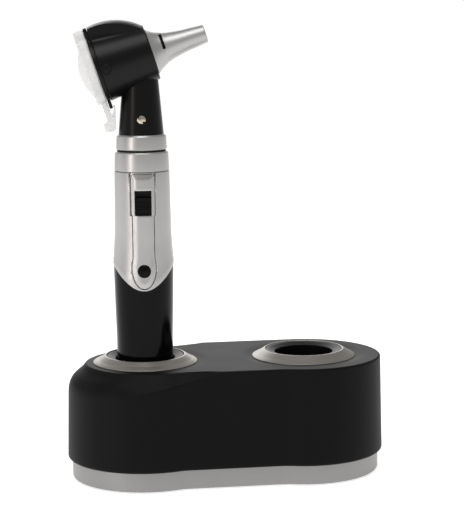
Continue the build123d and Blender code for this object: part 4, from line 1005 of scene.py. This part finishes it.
    def sleeve(self) -> None:
        """Grip sleeve: a grid of angle and height whose lower edge is a parabola seen from the front.

        The radius follows the skin, dips into a groove round the strip and sinks under it, and rolls in
        at both ends. Quads inside the switch window are left out, then the sheet is given a thickness.
        """
        front = np.linspace(-0.42, 0.42, 230)
        rest = np.linspace(0.42, 2 * pi - 0.42, 150)[1:-1]
        angle = np.concatenate([front, rest])[:, None]
        share = np.linspace(0, 1, 340)[None, :]
        roll = np.array([0.0, 0.0012, 0.003, 0.006, 0.010])
        share = np.concatenate([roll, share[0, 4:-4], 1 - roll[::-1]])[None, :]
        widest = 15.1
        x = np.sin(angle) * widest
        low = self.edge_height(x)
        height = low + (self.grip_top - low) * share
        radius = self.skin(height, x)
        from_low = (height - low)
        from_top = (self.grip_top - height)
        lip = 0.28 * (1 - np.sqrt(np.clip(1 - (1 - np.clip(from_low / 0.5, 0, 1)) ** 2, 0, 1)))
        lip = lip + 0.22 * (1 - np.sqrt(np.clip(1 - (1 - np.clip(from_top / 0.35, 0, 1)) ** 2, 0, 1)))
        side = radius * np.sin(angle)
        facing = np.cos(angle) > 0.6
        gap = np.where(facing, self.outline_gap(side, height), -9.0)
        upper = smoothstep(self.strip_step - 0.6, self.strip_step + 0.2, height)
        reach = 0.2 + 0.4 * upper * smoothstep(0.5, -0.5, side)
        corner = smoothstep(self.strip_high - 2.2, self.strip_high - 1.2, height)
        above = corner * (side > -self.strip_upper - 0.6) * (side < self.strip_upper + 0.2) * facing
        inside = np.maximum(smoothstep(-reach - 0.1, -reach + 0.1, gap), above)
        pocket = (0.6 + 0.6 * upper) * inside
        radius = radius - pocket - lip
        points = np.stack([radius * np.sin(angle), -radius * np.cos(angle), height], -1)
        quads = grid_faces(len(angle), share.shape[1], True, False)
        centre = points.reshape(-1, 3)[quads].mean(1)
        hidden = self.in_window(centre[:, 0], centre[:, 2], 0.3) & (centre[:, 1] < 0)
        piece = make_piece("grip_sleeve_skin", self.where.handle.place(points), quads[~hidden],
                           self.palette["satin_silver"], Shading.SMOOTH)
        self.thicken(piece, 0.8)
        attach(piece, "handle", "sleeve_silver", "grip_sleeve")

    @staticmethod
    def thicken(piece: bpy.types.Object, thickness: float) -> None:
        """Give a sheet a wall on its inner side, and crease its new corners."""
        wall = piece.modifiers.new("wall", "SOLIDIFY")
        wall.thickness = thickness * MM
        wall.offset = -1.0
        wall.use_even_offset = False
        depsgraph = bpy.context.evaluated_depsgraph_get()
        mesh = bpy.data.meshes.new_from_object(piece.evaluated_get(depsgraph))
        piece.modifiers.remove(wall)
        piece.data = mesh
        mesh.set_sharp_from_angle(angle=radians(40))

    def strip(self) -> None:
        """Raised switch strip: u across its outline and v along it, with a soft pillow edge.

        The outermost line of points lies at the bottom of the groove, the next ones climb the edge, and
        the middle follows the sleeve's skin. Quads in the window are left out.
        """
        across = np.concatenate([np.linspace(0, 1, 16), np.linspace(1, 2, 16)[1:]])
        across = np.concatenate([-across[::-1], across[1:]])
        lower = self.strip_low + (self.bulb_height - self.strip_low) * (1 - np.cos(np.linspace(0.02, pi / 2, 60)))
        window_low = self.window_middle - self.window_height / 2
        window_high = self.window_middle + self.window_height / 2
        upper = np.concatenate([
            np.linspace(self.bulb_height, window_low, 70)[1:], np.linspace(window_low, window_high, 40)[1:],
            np.linspace(window_high, self.strip_high - self.strip_corner, 16)[1:],
            self.strip_high - self.strip_corner * (1 - np.sin(np.linspace(0, pi / 2, 18)))[1:],
        ])
        height = np.concatenate([lower, upper])[None, :]
        half = self.half_width(np.minimum(height, self.strip_high - 0.001))
        inner = np.minimum(self.window_width / 2, 0.76 * half)
        part = np.abs(across)[:, None]
        x = np.sign(across)[:, None] * np.where(part < 1, part * inner, inner + (part - 1) * (half - inner))
        height = np.broadcast_to(height, x.shape)
        gap = np.maximum(self.outline_gap(x, height), 0)
        window_gap = np.maximum(np.abs(x) - self.window_width / 2, np.abs(height - self.window_middle)
                                - self.window_height / 2)
        soft = 0.34 + 0.12 * smoothstep(self.strip_step - 6, self.strip_step + 4, height)
        pillow = self.strip_proud - 0.8 * (1 - smoothstep(0.0, 0.25, gap)) - soft * (1 - smoothstep(0.0, 2.8, gap))
        sill = 0.12 * (1 - smoothstep(0.0, 0.4, np.abs(window_gap)))
        depth = np.sqrt(np.maximum((self.skin(height, x) + pillow - sill) ** 2 - x**2, 0))
        points = np.stack([x, -depth, height], -1)
        quads = grid_faces(*x.shape, False, False)
        centre = points.reshape(-1, 3)[quads].mean(1)
        hidden = self.in_window(centre[:, 0], centre[:, 2], 0.0)
        piece = make_piece("switch_strip_skin", self.where.handle.place(points), quads[~hidden],
                           self.palette["satin_silver"], Shading.SMOOTH, False)
        self.face_out(piece)
        self.thicken(piece, 0.9)
        attach(piece, "handle", "strip_silver", "switch_strip")

    def face_out(self, piece: bpy.types.Object) -> None:
        """Flip a front sheet whose faces look into the handle."""
        mesh = piece.data
        toward = np.array(mesh.polygons[len(mesh.polygons) // 2].normal) @ -self.where.handle.y
        if toward < 0:
            mesh.flip_normals()

    def inlay(self) -> None:
        """Plain round inlay in the strip's round end: a shallow dome with a fine rim groove."""
        low = np.array(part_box("strip_inlay")[0]) / MM
        high = np.array(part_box("strip_inlay")[1]) / MM
        height = (low[2] + high[2]) / 2 - self.where.foot_z
        radius = (high[2] - low[2]) / 2
        facing = self.where.handle
        front, above, below = self.skin(height + np.array([0.0, 3.0, -3.0]), np.zeros(3))
        slope = (above - below) / 6
        outward = -facing.y - facing.z * slope
        outward = outward / np.linalg.norm(outward)
        origin = facing.origin + facing.z * height - facing.y * (front + self.strip_proud) - outward * 0.62
        place = Placement(origin, facing.x, np.cross(outward, facing.x), outward)
        profile = rounded([
            (0.001, 0, 0), (radius, 0, 0), (radius, 0.66, 0.12), (radius - 0.4, 0.72, 0.05),
            (radius - 0.55, 0.62, 0.05), (radius - 0.7, 0.74, 0.05), (0.001, 0.86, 0),
        ])
        piece = revolve("strip_inlay_disc", profile, place, self.palette["gloss_black"], False, 96, Shading.CREASED)
        attach(piece, "handle", "inlay_black", "strip_inlay")

    def thumb(self) -> None:
        """Thumb switch: a ribbed pad on its shutter, as one sheet of width and height.

        The depth is the shutter's face, plus the pad with rounded sides, minus a row of grooves.
        """
        low = np.array(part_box("switch_slider")[0]) / MM
        high = np.array(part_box("switch_slider")[1]) / MM
        half_height = (high[2] - low[2]) / 2 - 0.02
        pad_half_width = self.window_width / 2 - 0.3
        pad_half_height = 2.6
        across = np.concatenate([[-self.window_width / 2], np.linspace(-pad_half_width - 0.02, pad_half_width + 0.02, 41),
                                 [self.window_width / 2]])
        along = np.concatenate([np.linspace(-half_height, -pad_half_height - 0.1, 12)[:-1],
                                np.linspace(-pad_half_height - 0.04, pad_half_height + 0.04, 90),
                                np.linspace(pad_half_height + 0.1, half_height, 12)[1:]])
        x, z = np.meshgrid(across, along, indexing="ij")
        edge = np.minimum(pad_half_width - np.abs(x), pad_half_height - np.abs(z))
        rise = 3.2 * smoothstep(-0.02, 0.05, edge) - 0.25 * (1 - smoothstep(0.0, 0.5, edge))
        pitch = 2 * pad_half_height / self.rib_count
        ribs = 0.34 * (0.5 + 0.5 * np.cos(2 * pi * z / pitch)) ** 2 * smoothstep(0.15, 0.5, edge)
        dome = 0.18 * (x / pad_half_width) ** 2
        depth = 11.6 + np.where(edge > -0.02, rise - ribs - dome, 0.0)
        points = np.stack([x, -depth, z + self.window_middle], -1)
        quads = grid_faces(*x.shape, False, False)
        piece = make_piece("thumb_switch_pad", self.where.handle.place(points), quads,
                           self.palette["dark_plastic"], Shading.SMOOTH, False)
        self.face_out(piece)
        self.thicken(piece, 0.9)
        attach(piece, "thumb_switch", "slider_black", "switch_slider")

    def rings(self) -> None:
        """Upper ring, dark washer and head collar, turned from chamfered profiles."""
        ring = rounded([
            (8.0, 140.66, 0), (13.35, 140.66, 0), (13.53, 140.85, 0.1), (13.36, 145.0, 3), (13.13, 149.5, 0.25),
            (12.5, 150.1, 0.25), (8.0, 150.1, 0),
        ])
        washer = rounded([(8.0, 150.1, 0), (12.0, 150.1, 0), (12.0, 150.95, 0.2), (8.0, 150.95, 0)])
        collar = rounded([
            (8.05, 151.0, 0), (12.2, 151.0, 0.2), (12.53, 151.45, 0.25), (12.17, 157.6, 0.3), (11.4, 158.4, 0.25),
            (6.6, 158.4, 0), (6.6, 165.0, 0), (4.6, 165.0, 0), (4.6, 156.6, 0), (8.05, 156.6, 0), (8.05, 151.0, 0),
        ])
        piece = revolve("upper_ring", ring, self.where.handle, self.palette["satin_silver"], False)
        attach(piece, "handle", "sleeve_silver", "cap_ring")
        piece = revolve("parting_washer", washer, self.where.handle, self.palette["soft_rubber"], False)
        attach(piece, "handle", "washer_black", "joint_washer")
        piece = revolve("coupling_collar", collar, self.where.handle, self.palette["satin_silver"], False, 160,
                        Shading.CREASED)
        attach(piece, "head", "collar_silver", "head_collar")

    def build(self) -> None:
        """Make all pieces of the handle."""
        self.tube()
        self.sleeve()
        self.strip()
        self.inlay()
        self.thumb()
        self.rings()


# ---------------------------------------------------------------- head
@dataclass
class Head:
    """Head body, rear flange, lens window and nose cone.

    Attributes:
        where: shared layout.
        palette: finishes.
        rear: section of the rear face.
        front: section of the front face.
        rear_radius: barrel radius at the rear.
        front_radius: barrel radius at the front.
        crest_half: half width of the crest.
        crest_top: highest place of the crest.
        crest_arc: radius of the crest's arched top.
        crest_section: section of the arch's middle.
    """

    where: Layout
    palette: Palette
    rear: float = -20.2
    front: float = 6.0
    rear_radius: float = 16.3
    front_radius: float = 13.8
    crest_half: float = 7.4
    crest_top: float = 21.8
    crest_arc: float = 30.5
    crest_section: float = -15.0
    lens_radius: float = 12.3
    pivot_height: float = 17.6

    def polar(self, angle: Array, radius: Array, half: Array, top: Array, blend: Array, corner: Array,
              crown: Array | float = 0.0) -> Array:
        """Distance from the optical axis to a disc joined with an upright slab.

        The slab is the smaller of half / |sin a| and its top, with a rounded corner. The top is a parabola,
        y = top - crown (x / half)^2, and the result is the larger of disc and slab, with a rounded valley.
        Angle 0 points up.
        """
        sine = np.maximum(np.abs(np.sin(angle)), 1e-3)
        cosine = np.maximum(np.cos(angle), 1e-3)
        roof = 2 * top / (cosine + np.sqrt(cosine**2 + 4 * top * crown * (sine / half) ** 2))
        slab = smooth_min(half / sine, roof, corner)
        slab = np.where(np.cos(angle) > 0.05, slab, 0.0)
        return smooth_max(radius + 0 * slab, slab, blend + 0 * slab)

    @staticmethod
    def angles() -> Array:
        """Angles round the optical axis, dense where the crest meets the disc."""
        near = np.linspace(0, 0.75, 110)[:-1]
        far = np.linspace(0.75, 2 * pi - 0.75, 140)
        return np.concatenate([near, far, 2 * pi - near[:0:-1]])

    def body(self) -> None:
        """Barrel with its crest: polar sections carried along the axis, then rolled into both faces.

        The valley between crest and barrel is a crisp crease at the front and widens towards the rear.
        """
        angle = self.angles()[:, None]
        share = np.linspace(0, 1, 80)
        section = (self.rear + 0.5) + (self.front - self.rear - 1.0) * share
        section = section[None, :]
        radius = self.rear_radius + (self.front_radius - self.rear_radius) * (section - self.rear) / (
            self.front - self.rear)
        arch = self.crest_top - self.crest_arc + np.sqrt(self.crest_arc**2 - (section - self.crest_section) ** 2)
        back = smoothstep(1.0, -16.0, section)
        blend = 0.12 + 2.6 * back**1.5
        crown = 0.9 + 1.3 * smoothstep(-20.0, 4.0, section)
        skin = self.polar(angle, radius, self.crest_half, arch, blend, 0.25 + 0 * section, crown)
        arc = np.linspace(0, pi / 2, 7)[1:]
        rear_in = 0.5 * (1 - np.cos(arc[::-1]))
        front_in = 0.5 * (1 - np.cos(arc))
        rows = [
            (skin[:, :1] - rear_in[None], self.rear + 0.5 * (1 - np.sin(arc[::-1]))),
            (skin, section[0]),
            (skin[:, -1:] - front_in[None], self.front - 0.5 * (1 - np.sin(arc))),
        ]
        inner = rounded([
            (11.0, self.front, 0), (8.0, self.front, 0), (8.0, 10.2, 0.2), (6.6, 10.2, 0), (6.6, self.front - 2, 0),
            (12.6, self.rear + 6.0, 0), (12.6, self.rear, 0.2), (14.5, self.rear, 0),
        ], 4)
        radii = np.concatenate([row for row, _ in rows], axis=1)
        heights = np.concatenate([place for _, place in rows])
        radii = np.concatenate([radii, np.broadcast_to(inner[:, 0], (len(angle), len(inner)))], axis=1)
        heights = np.concatenate([heights, inner[:, 1]])
        points = np.stack([radii * np.sin(angle), radii * np.cos(angle), np.broadcast_to(heights, radii.shape)], -1)
        faces = grid_faces(len(angle), len(heights), True, True)
        piece = make_piece("head_body_skin", self.where.head.place(points), faces, self.palette["satin_black"],
                           Shading.CREASED)
        attach(piece, "head", "head_black", "head_body")

    def plate(self, name: str, outline: Array, hole: float, low: float, high: float, edge: float,
              material: bpy.types.Material) -> bpy.types.Object:
        """Flat plate with rounded edges between two sections, from a polar outline and a round hole.

        Args:
            name: name of the piece.
            outline: distance from the axis for each of the head's angles.
            hole: radius of the hole.
            low: rear section.
            high: front section.
            edge: radius of the rounded edges.
            material: finish.

        Returns:
            The new object.
        """
        angle = self.angles()[:, None]
        arc = np.linspace(0, pi / 2, 6)
        inward = np.concatenate([edge * (1 - np.sin(arc)), edge * (1 - np.cos(arc))])
        place = np.concatenate([low + edge * (1 - np.cos(arc)), high - edge * (1 - np.sin(arc))])
        inner = np.array([hole, hole])
        radii = np.concatenate([outline[:, None] - inward[None], np.broadcast_to(inner, (len(angle), 2))], axis=1)
        heights = np.concatenate([place, [high, low]])
        points = np.stack([radii * np.sin(angle), radii * np.cos(angle), np.broadcast_to(heights, radii.shape)], -1)
        faces = grid_faces(len(angle), len(heights), True, True)
        return make_piece(name, self.where.head.place(points), faces, material, Shading.CREASED)

    def flange(self) -> None:
        """Rear flange: a thin plate with the crest above and the latch lip below."""
        angle = self.angles()
        even = np.ones_like(angle)
        outline = self.polar(angle, 16.7 * even, self.crest_half + 0.3, 21.3, 1.6 * even, 1.6 * even)
        below = self.polar(angle + pi, 10.0 * even, 4.5, 19.6, 0.2 * even, 0.7 * even)
        outline = smooth_max(outline, below, 0.8 * even)
        piece = self.plate("rear_flange_skin", outline, 12.6, -22.2, -20.6, 0.25, self.palette["satin_black"])
        attach(piece, "head", "flange_black", "rear_flange")
        outline = self.polar(angle, 15.8 * even, self.crest_half - 0.5, 19.6, 1.6 * even, 1.6 * even)
        piece = self.plate("flange_spacer", outline, 12.6, -20.7, -20.1, 0.05, self.palette["satin_black"])
        attach(piece, "head", "flange_black")

    def window(self) -> None:
        """Clear lens carrier with its latch tab, and the domed lens."""
        angle = self.angles()
        even = np.ones_like(angle)
        outline = self.polar(angle, 16.4 * even, self.crest_half, 21.0, 1.6 * even, 2.4 * even)
        piece = self.plate("lens_carrier_frame", outline, self.lens_radius, -27.4, -22.45, 1.0,
                           self.palette["clear_acrylic"])
        attach(piece, "rear_window", "clear_acrylic", "lens_carrier")
        self.latch()
        sagitta = 3.7
        sphere = (self.lens_radius**2 + sagitta**2) / (2 * sagitta)
        radius = np.linspace(0.001, self.lens_radius - 0.05, 40)
        dome = np.stack([radius, -27.3 - sagitta + sphere - np.sqrt(sphere**2 - radius**2)], -1)
        flat = np.array([(self.lens_radius - 0.05, -24.0), (0.001, -24.0)])
        piece = revolve("domed_lens", np.concatenate([dome, flat]), self.where.head, self.palette["polished_lens"],
                        False, 128, Shading.CREASED)
        attach(piece, "rear_window", "lens_glass", "magnifying_lens")

    def latch(self) -> None:
        """Latch tab under the lens: a forked side outline, swept across with rounded edges."""
        corners = [
            (-25.4, -14.9, 0), (-25.4, -25.6, 0.6), (-27.7, -25.9, 0.5), (-27.8, -29.5, 0.7), (-25.5, -30.6, 0.8),
            (-22.8, -30.3, 0.9), (-21.7, -26.6, 1.2), (-19.5, -19.6, 0.4), (-19.65, -18.6, 0.3),
            (-20.2, -18.6, 0.25), (-20.3, -20.3, 0.8), (-22.5, -23.7, 0.35), (-22.6, -22.0, 0.5), (-22.6, -14.9, 0),
            (-25.4, -14.9, 0),
        ]
        ring = rounded(corners, 6)[:-1]
        step = np.roll(ring, -1, axis=0) - np.roll(ring, 1, axis=0)
        normal = np.stack([-step[:, 1], step[:, 0]], -1) / np.maximum(np.linalg.norm(step, axis=1), 1e-6)[:, None]
        arc = np.linspace(0, pi / 2, 5)
        edge, half = 0.35, 3.8
        inward = np.concatenate([edge * (1 - np.sin(arc)), edge * (1 - np.cos(arc))])
        across = np.concatenate([-half + edge * (1 - np.cos(arc)), half - edge * (1 - np.sin(arc))])
        rows = ring[None] + normal[None] * inward[:, None, None] * 0.6
        points = np.stack([np.broadcast_to(across[:, None], rows.shape[:2]), rows[..., 1], rows[..., 0]], -1)
        faces = grid_faces(len(across), len(ring), False, True)
        piece = make_piece("latch_tab", self.where.head.place(points), faces, self.palette["clear_acrylic"],
                           Shading.CREASED)
        fill_ends(piece)
        attach(piece, "rear_window", "clear_acrylic")

    def nose(self) -> None:
        """Nose cone: a turned sheet with two locking slots, thickened inwards."""
        knots = np.array([6.35, 7.4, 9.0, 11.0, 13.0, 15.0, 17.5, 22.3, 28.0, 33.4])
        radii = np.array([11.3, 10.45, 9.4, 8.3, 7.5, 6.95, 6.45, 5.66, 5.14, 4.6])
        slot_low, slot_high = 12.4 - 0.75, 12.4 + 0.75
        place = np.concatenate([
            np.linspace(6.35, slot_low, 40)[:-1], np.linspace(slot_low, slot_high, 6)[:-1],
            np.linspace(slot_high, 33.4, 90),
        ])
        radius = curve_through(knots, radii, place)
        step_in = 0.16 * smoothstep(11.6, 12.2, place)
        arc = np.linspace(0, pi / 2, 6)[1:]
        place = np.concatenate([place, 33.4 + 0.5 * np.sin(arc)])
        radius = np.concatenate([radius - step_in, radius[-1] - 0.16 - 0.5 * (1 - np.cos(arc))])
        angle = np.linspace(0, 2 * pi, 220, endpoint=False)[:, None]
        points = np.stack([radius * np.sin(angle), radius * np.cos(angle), np.broadcast_to(place, (220, len(place)))], -1)
        quads = grid_faces(220, len(place), True, False)
        centre = points.reshape(-1, 3)[quads].mean(1)
        turn = np.degrees(np.arctan2(-centre[:, 0], centre[:, 1]))
        in_slot = np.abs(centre[:, 2] - 12.4) < 0.75
        in_sweep = np.abs((turn - 50 + 90) % 180 - 90) < 43
        piece = make_piece("nose_cone_skin", self.where.head.place(points), quads[~(in_slot & in_sweep)],
                           self.palette["nose_silver"], Shading.SMOOTH)
        Handle.thicken(piece, 0.8)
        attach(piece, "nose", "nose_silver", "nose_cone")

    def port(self) -> None:
        """Small round port in the side of the barrel: a rounded rim round a stepped recess."""
        head = self.where.head
        box = np.array([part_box("port_bush")[0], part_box("port_bush")[1]]) / MM
        away = box.mean(0) - head.origin
        origin = head.origin + head.z * (away @ head.z) + head.y * (away @ head.y)
        place = Placement(origin, head.z, head.y, -head.x)
        profile = rounded([
            (0.9, 13.9, 0), (0.9, 14.9, 0), (1.75, 15.3, 0.2), (1.95, 16.2, 0.2), (2.7, 16.3, 0.4), (2.7, 13.9, 0),
            (0.9, 13.9, 0),
        ])[:-1]
        piece = revolve("port_rim", profile, place, self.palette["semi_gloss_black"], True, 72, Shading.CREASED)
        attach(piece, "head", "head_black", "port_bush")

    def screw(self) -> None:
        """Domed neck screw: a sheet of radius and turn whose height dips along one diagonal slot."""
        handle = self.where.handle
        low, high = (np.array(corner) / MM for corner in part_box("neck_screw"))
        size = (high[2] - low[2]) / 2
        away = (low + high) / 2 - handle.origin
        front = -float(((low + high) / 2 - handle.origin) @ handle.y) + (high[1] - low[1]) / 2 - 0.15
        origin = handle.origin + handle.z * away[2]
        place = Placement(origin, handle.x, handle.z, -handle.y)
        share = np.concatenate([np.linspace(0.001, 0.93, 60), 0.93 + 0.07 * np.sin(np.linspace(0, pi / 2, 8)[1:]),
                                [1.0]])[None, :]
        turn = np.linspace(0, 2 * pi, 160, endpoint=False)[:, None]
        x, y = size * share * np.cos(turn), size * share * np.sin(turn)
        dome = front - 0.05 - 0.55 * share**2 - 0.25 * smoothstep(0.93, 1.0, share)
        across = np.abs(x + y) / sqrt(2)
        height = dome - 1.4 * smoothstep(0.56, 0.48, across)
        height[:, -1] = front - 3.0
        points = np.stack([x, y, height], -1)
        faces = grid_faces(len(turn), share.shape[1], True, False)
        piece = make_piece("neck_screw_head", place.place(points), faces, self.palette["nickel"],
                           Shading.CREASED)
        attach(piece, "head", "screw_nickel", "neck_screw")

    def build(self) -> None:
        """Make all pieces of the head."""
        self.body()
        self.port()
        self.screw()
        self.flange()
        self.window()
        self.nose()


# ---------------------------------------------------------------- studio
@dataclass
class Studio:
    """Camera, floor and soft lights.

    Attributes:
        lift: how far the feet raise the charger over the surface the camera was set from.
        focal: focal length in millimetres on a 36 mm sensor.
        yaw: turn of the camera to the right, in degrees.
        pitch: tilt of the camera down, in degrees.
        roll: roll of the camera, in degrees.
        place: camera's place in millimetres.
    """

    lift: float = 0.6
    focal: float = 126.41
    yaw: float = 8.04
    pitch: float = 8.71
    roll: float = -0.62
    place: tuple[float, float, float] = (-121.193, -887.395, 245.705)

    def camera(self) -> None:
        """Place the camera from its yaw, pitch and roll."""
        yaw, pitch, roll = radians(self.yaw), radians(self.pitch), radians(self.roll)
        forward = np.array([sin(yaw) * cos(pitch), cos(yaw) * cos(pitch), -sin(pitch)])
        right = np.array([cos(yaw), -sin(yaw), 0.0])
        upward = np.cross(right, forward)
        right_rolled = right * cos(roll) + upward * sin(roll)
        up_rolled = -right * sin(roll) + upward * cos(roll)
        data = bpy.data.cameras.new("camera")
        data.lens = self.focal
        data.sensor_width = 36.0
        data.clip_start = 0.01
        camera = bpy.data.objects.new("camera", data)
        bpy.context.scene.collection.objects.link(camera)
        matrix = np.eye(4)
        matrix[:3, 0], matrix[:3, 1], matrix[:3, 2] = right_rolled, up_rolled, -forward
        matrix[:3, 3] = (np.array(self.place) + np.array([0, 0, self.lift])) * MM
        camera.matrix_world = Matrix(matrix.tolist())
        bpy.context.scene.camera = camera

    def floor(self) -> None:
        """Plain pale floor."""
        size = 40.0
        mesh = bpy.data.meshes.new("floor")
        mesh.from_pydata([(-size, -size, 0), (size, -size, 0), (size, size, 0), (-size, size, 0)], [], [(0, 1, 2, 3)])
        material = bpy.data.materials.new("pale_floor")
        material.use_nodes = True
        shader = material.node_tree.nodes["Principled BSDF"]
        shader.inputs["Base Color"].default_value = (0.93, 0.93, 0.93, 1)
        shader.inputs["Roughness"].default_value = 0.8
        shader.inputs["Specular IOR Level"].default_value = 0.0
        shader.inputs["Emission Color"].default_value = (1, 1, 1, 1)
        shader.inputs["Emission Strength"].default_value = 0.6
        mesh.materials.append(material)
        floor = bpy.data.objects.new("floor", mesh)
        bpy.context.scene.collection.objects.link(floor)

    @staticmethod
    def softbox(name: str, place: tuple[float, float, float], aim: tuple[float, float, float],
                size: tuple[float, float], power: float, colour: tuple[float, float, float] = (1, 1, 1)) -> None:
        """Rectangular soft light that looks at a point.

        Args:
            name: name of the light.
            place: its place in metres.
            aim: the point it looks at, in metres.
            size: width and height in metres.
            power: watts.
            colour: colour of the light.
        """
        data = bpy.data.lights.new(name, "AREA")
        data.shape = "RECTANGLE"
        data.size, data.size_y = size
        data.energy = power
        data.color = colour
        light = bpy.data.objects.new(name, data)
        light.location = place
        light.rotation_euler = (Vector(aim) - Vector(place)).to_track_quat("-Z", "Y").to_euler()
        light.visible_camera = False
        bpy.context.scene.collection.objects.link(light)

    def lights(self) -> None:
        """Pale surroundings and soft boxes."""
        world = bpy.data.worlds.new("studio")
        world.use_nodes = True
        nodes, links = world.node_tree.nodes, world.node_tree.links
        room = nodes["Background"]
        room.inputs["Color"].default_value = (1, 1, 1, 1)
        room.inputs["Strength"].default_value = 0.44
        seen = nodes.new("ShaderNodeBackground")
        seen.inputs["Color"].default_value = (1, 1, 1, 1)
        seen.inputs["Strength"].default_value = 1.0
        path = nodes.new("ShaderNodeLightPath")
        mix = nodes.new("ShaderNodeMixShader")
        links.new(path.outputs["Is Camera Ray"], mix.inputs["Fac"])
        links.new(room.outputs["Background"], mix.inputs[1])
        links.new(seen.outputs["Background"], mix.inputs[2])
        links.new(mix.outputs["Shader"], nodes["World Output"].inputs["Surface"])
        bpy.context.scene.world = world
        aim = (-0.04, 0.0, 0.14)
        self.softbox("warm_strip", (-1.0, -0.72, 0.30), aim, (0.13, 1.0), 3.0, (1.0, 0.92, 0.87))
        self.softbox("front_top", (-0.15, -0.45, 1.25), aim, (0.9, 0.7), 6.5)
        self.softbox("left_panel", (-1.15, 0.45, 0.35), aim, (0.8, 1.2), 0.9)
        self.softbox("back_panel", (0.04, 1.25, 0.55), (0.0, 0.0, 0.1), (0.9, 0.9), 4.6)

    def build(self) -> None:
        """Make camera, floor and lights."""
        self.camera()
        self.floor()
        self.lights()
        scene = bpy.context.scene
        scene.view_settings.view_transform = "Standard"
        scene.view_settings.look = "None"


def main() -> None:
    """Build the studio and every sub-assembly."""
    logging.basicConfig(level=logging.INFO, format="%(message)s")
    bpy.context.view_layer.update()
    Studio().build()
    palette = Palette()
    palette.dress_nodes()
    where = Layout()
    ChargerBase(where, palette).build()
    Handle(where, palette).build()
    Head(where, palette).build()


if __name__ == "__main__":
    main()
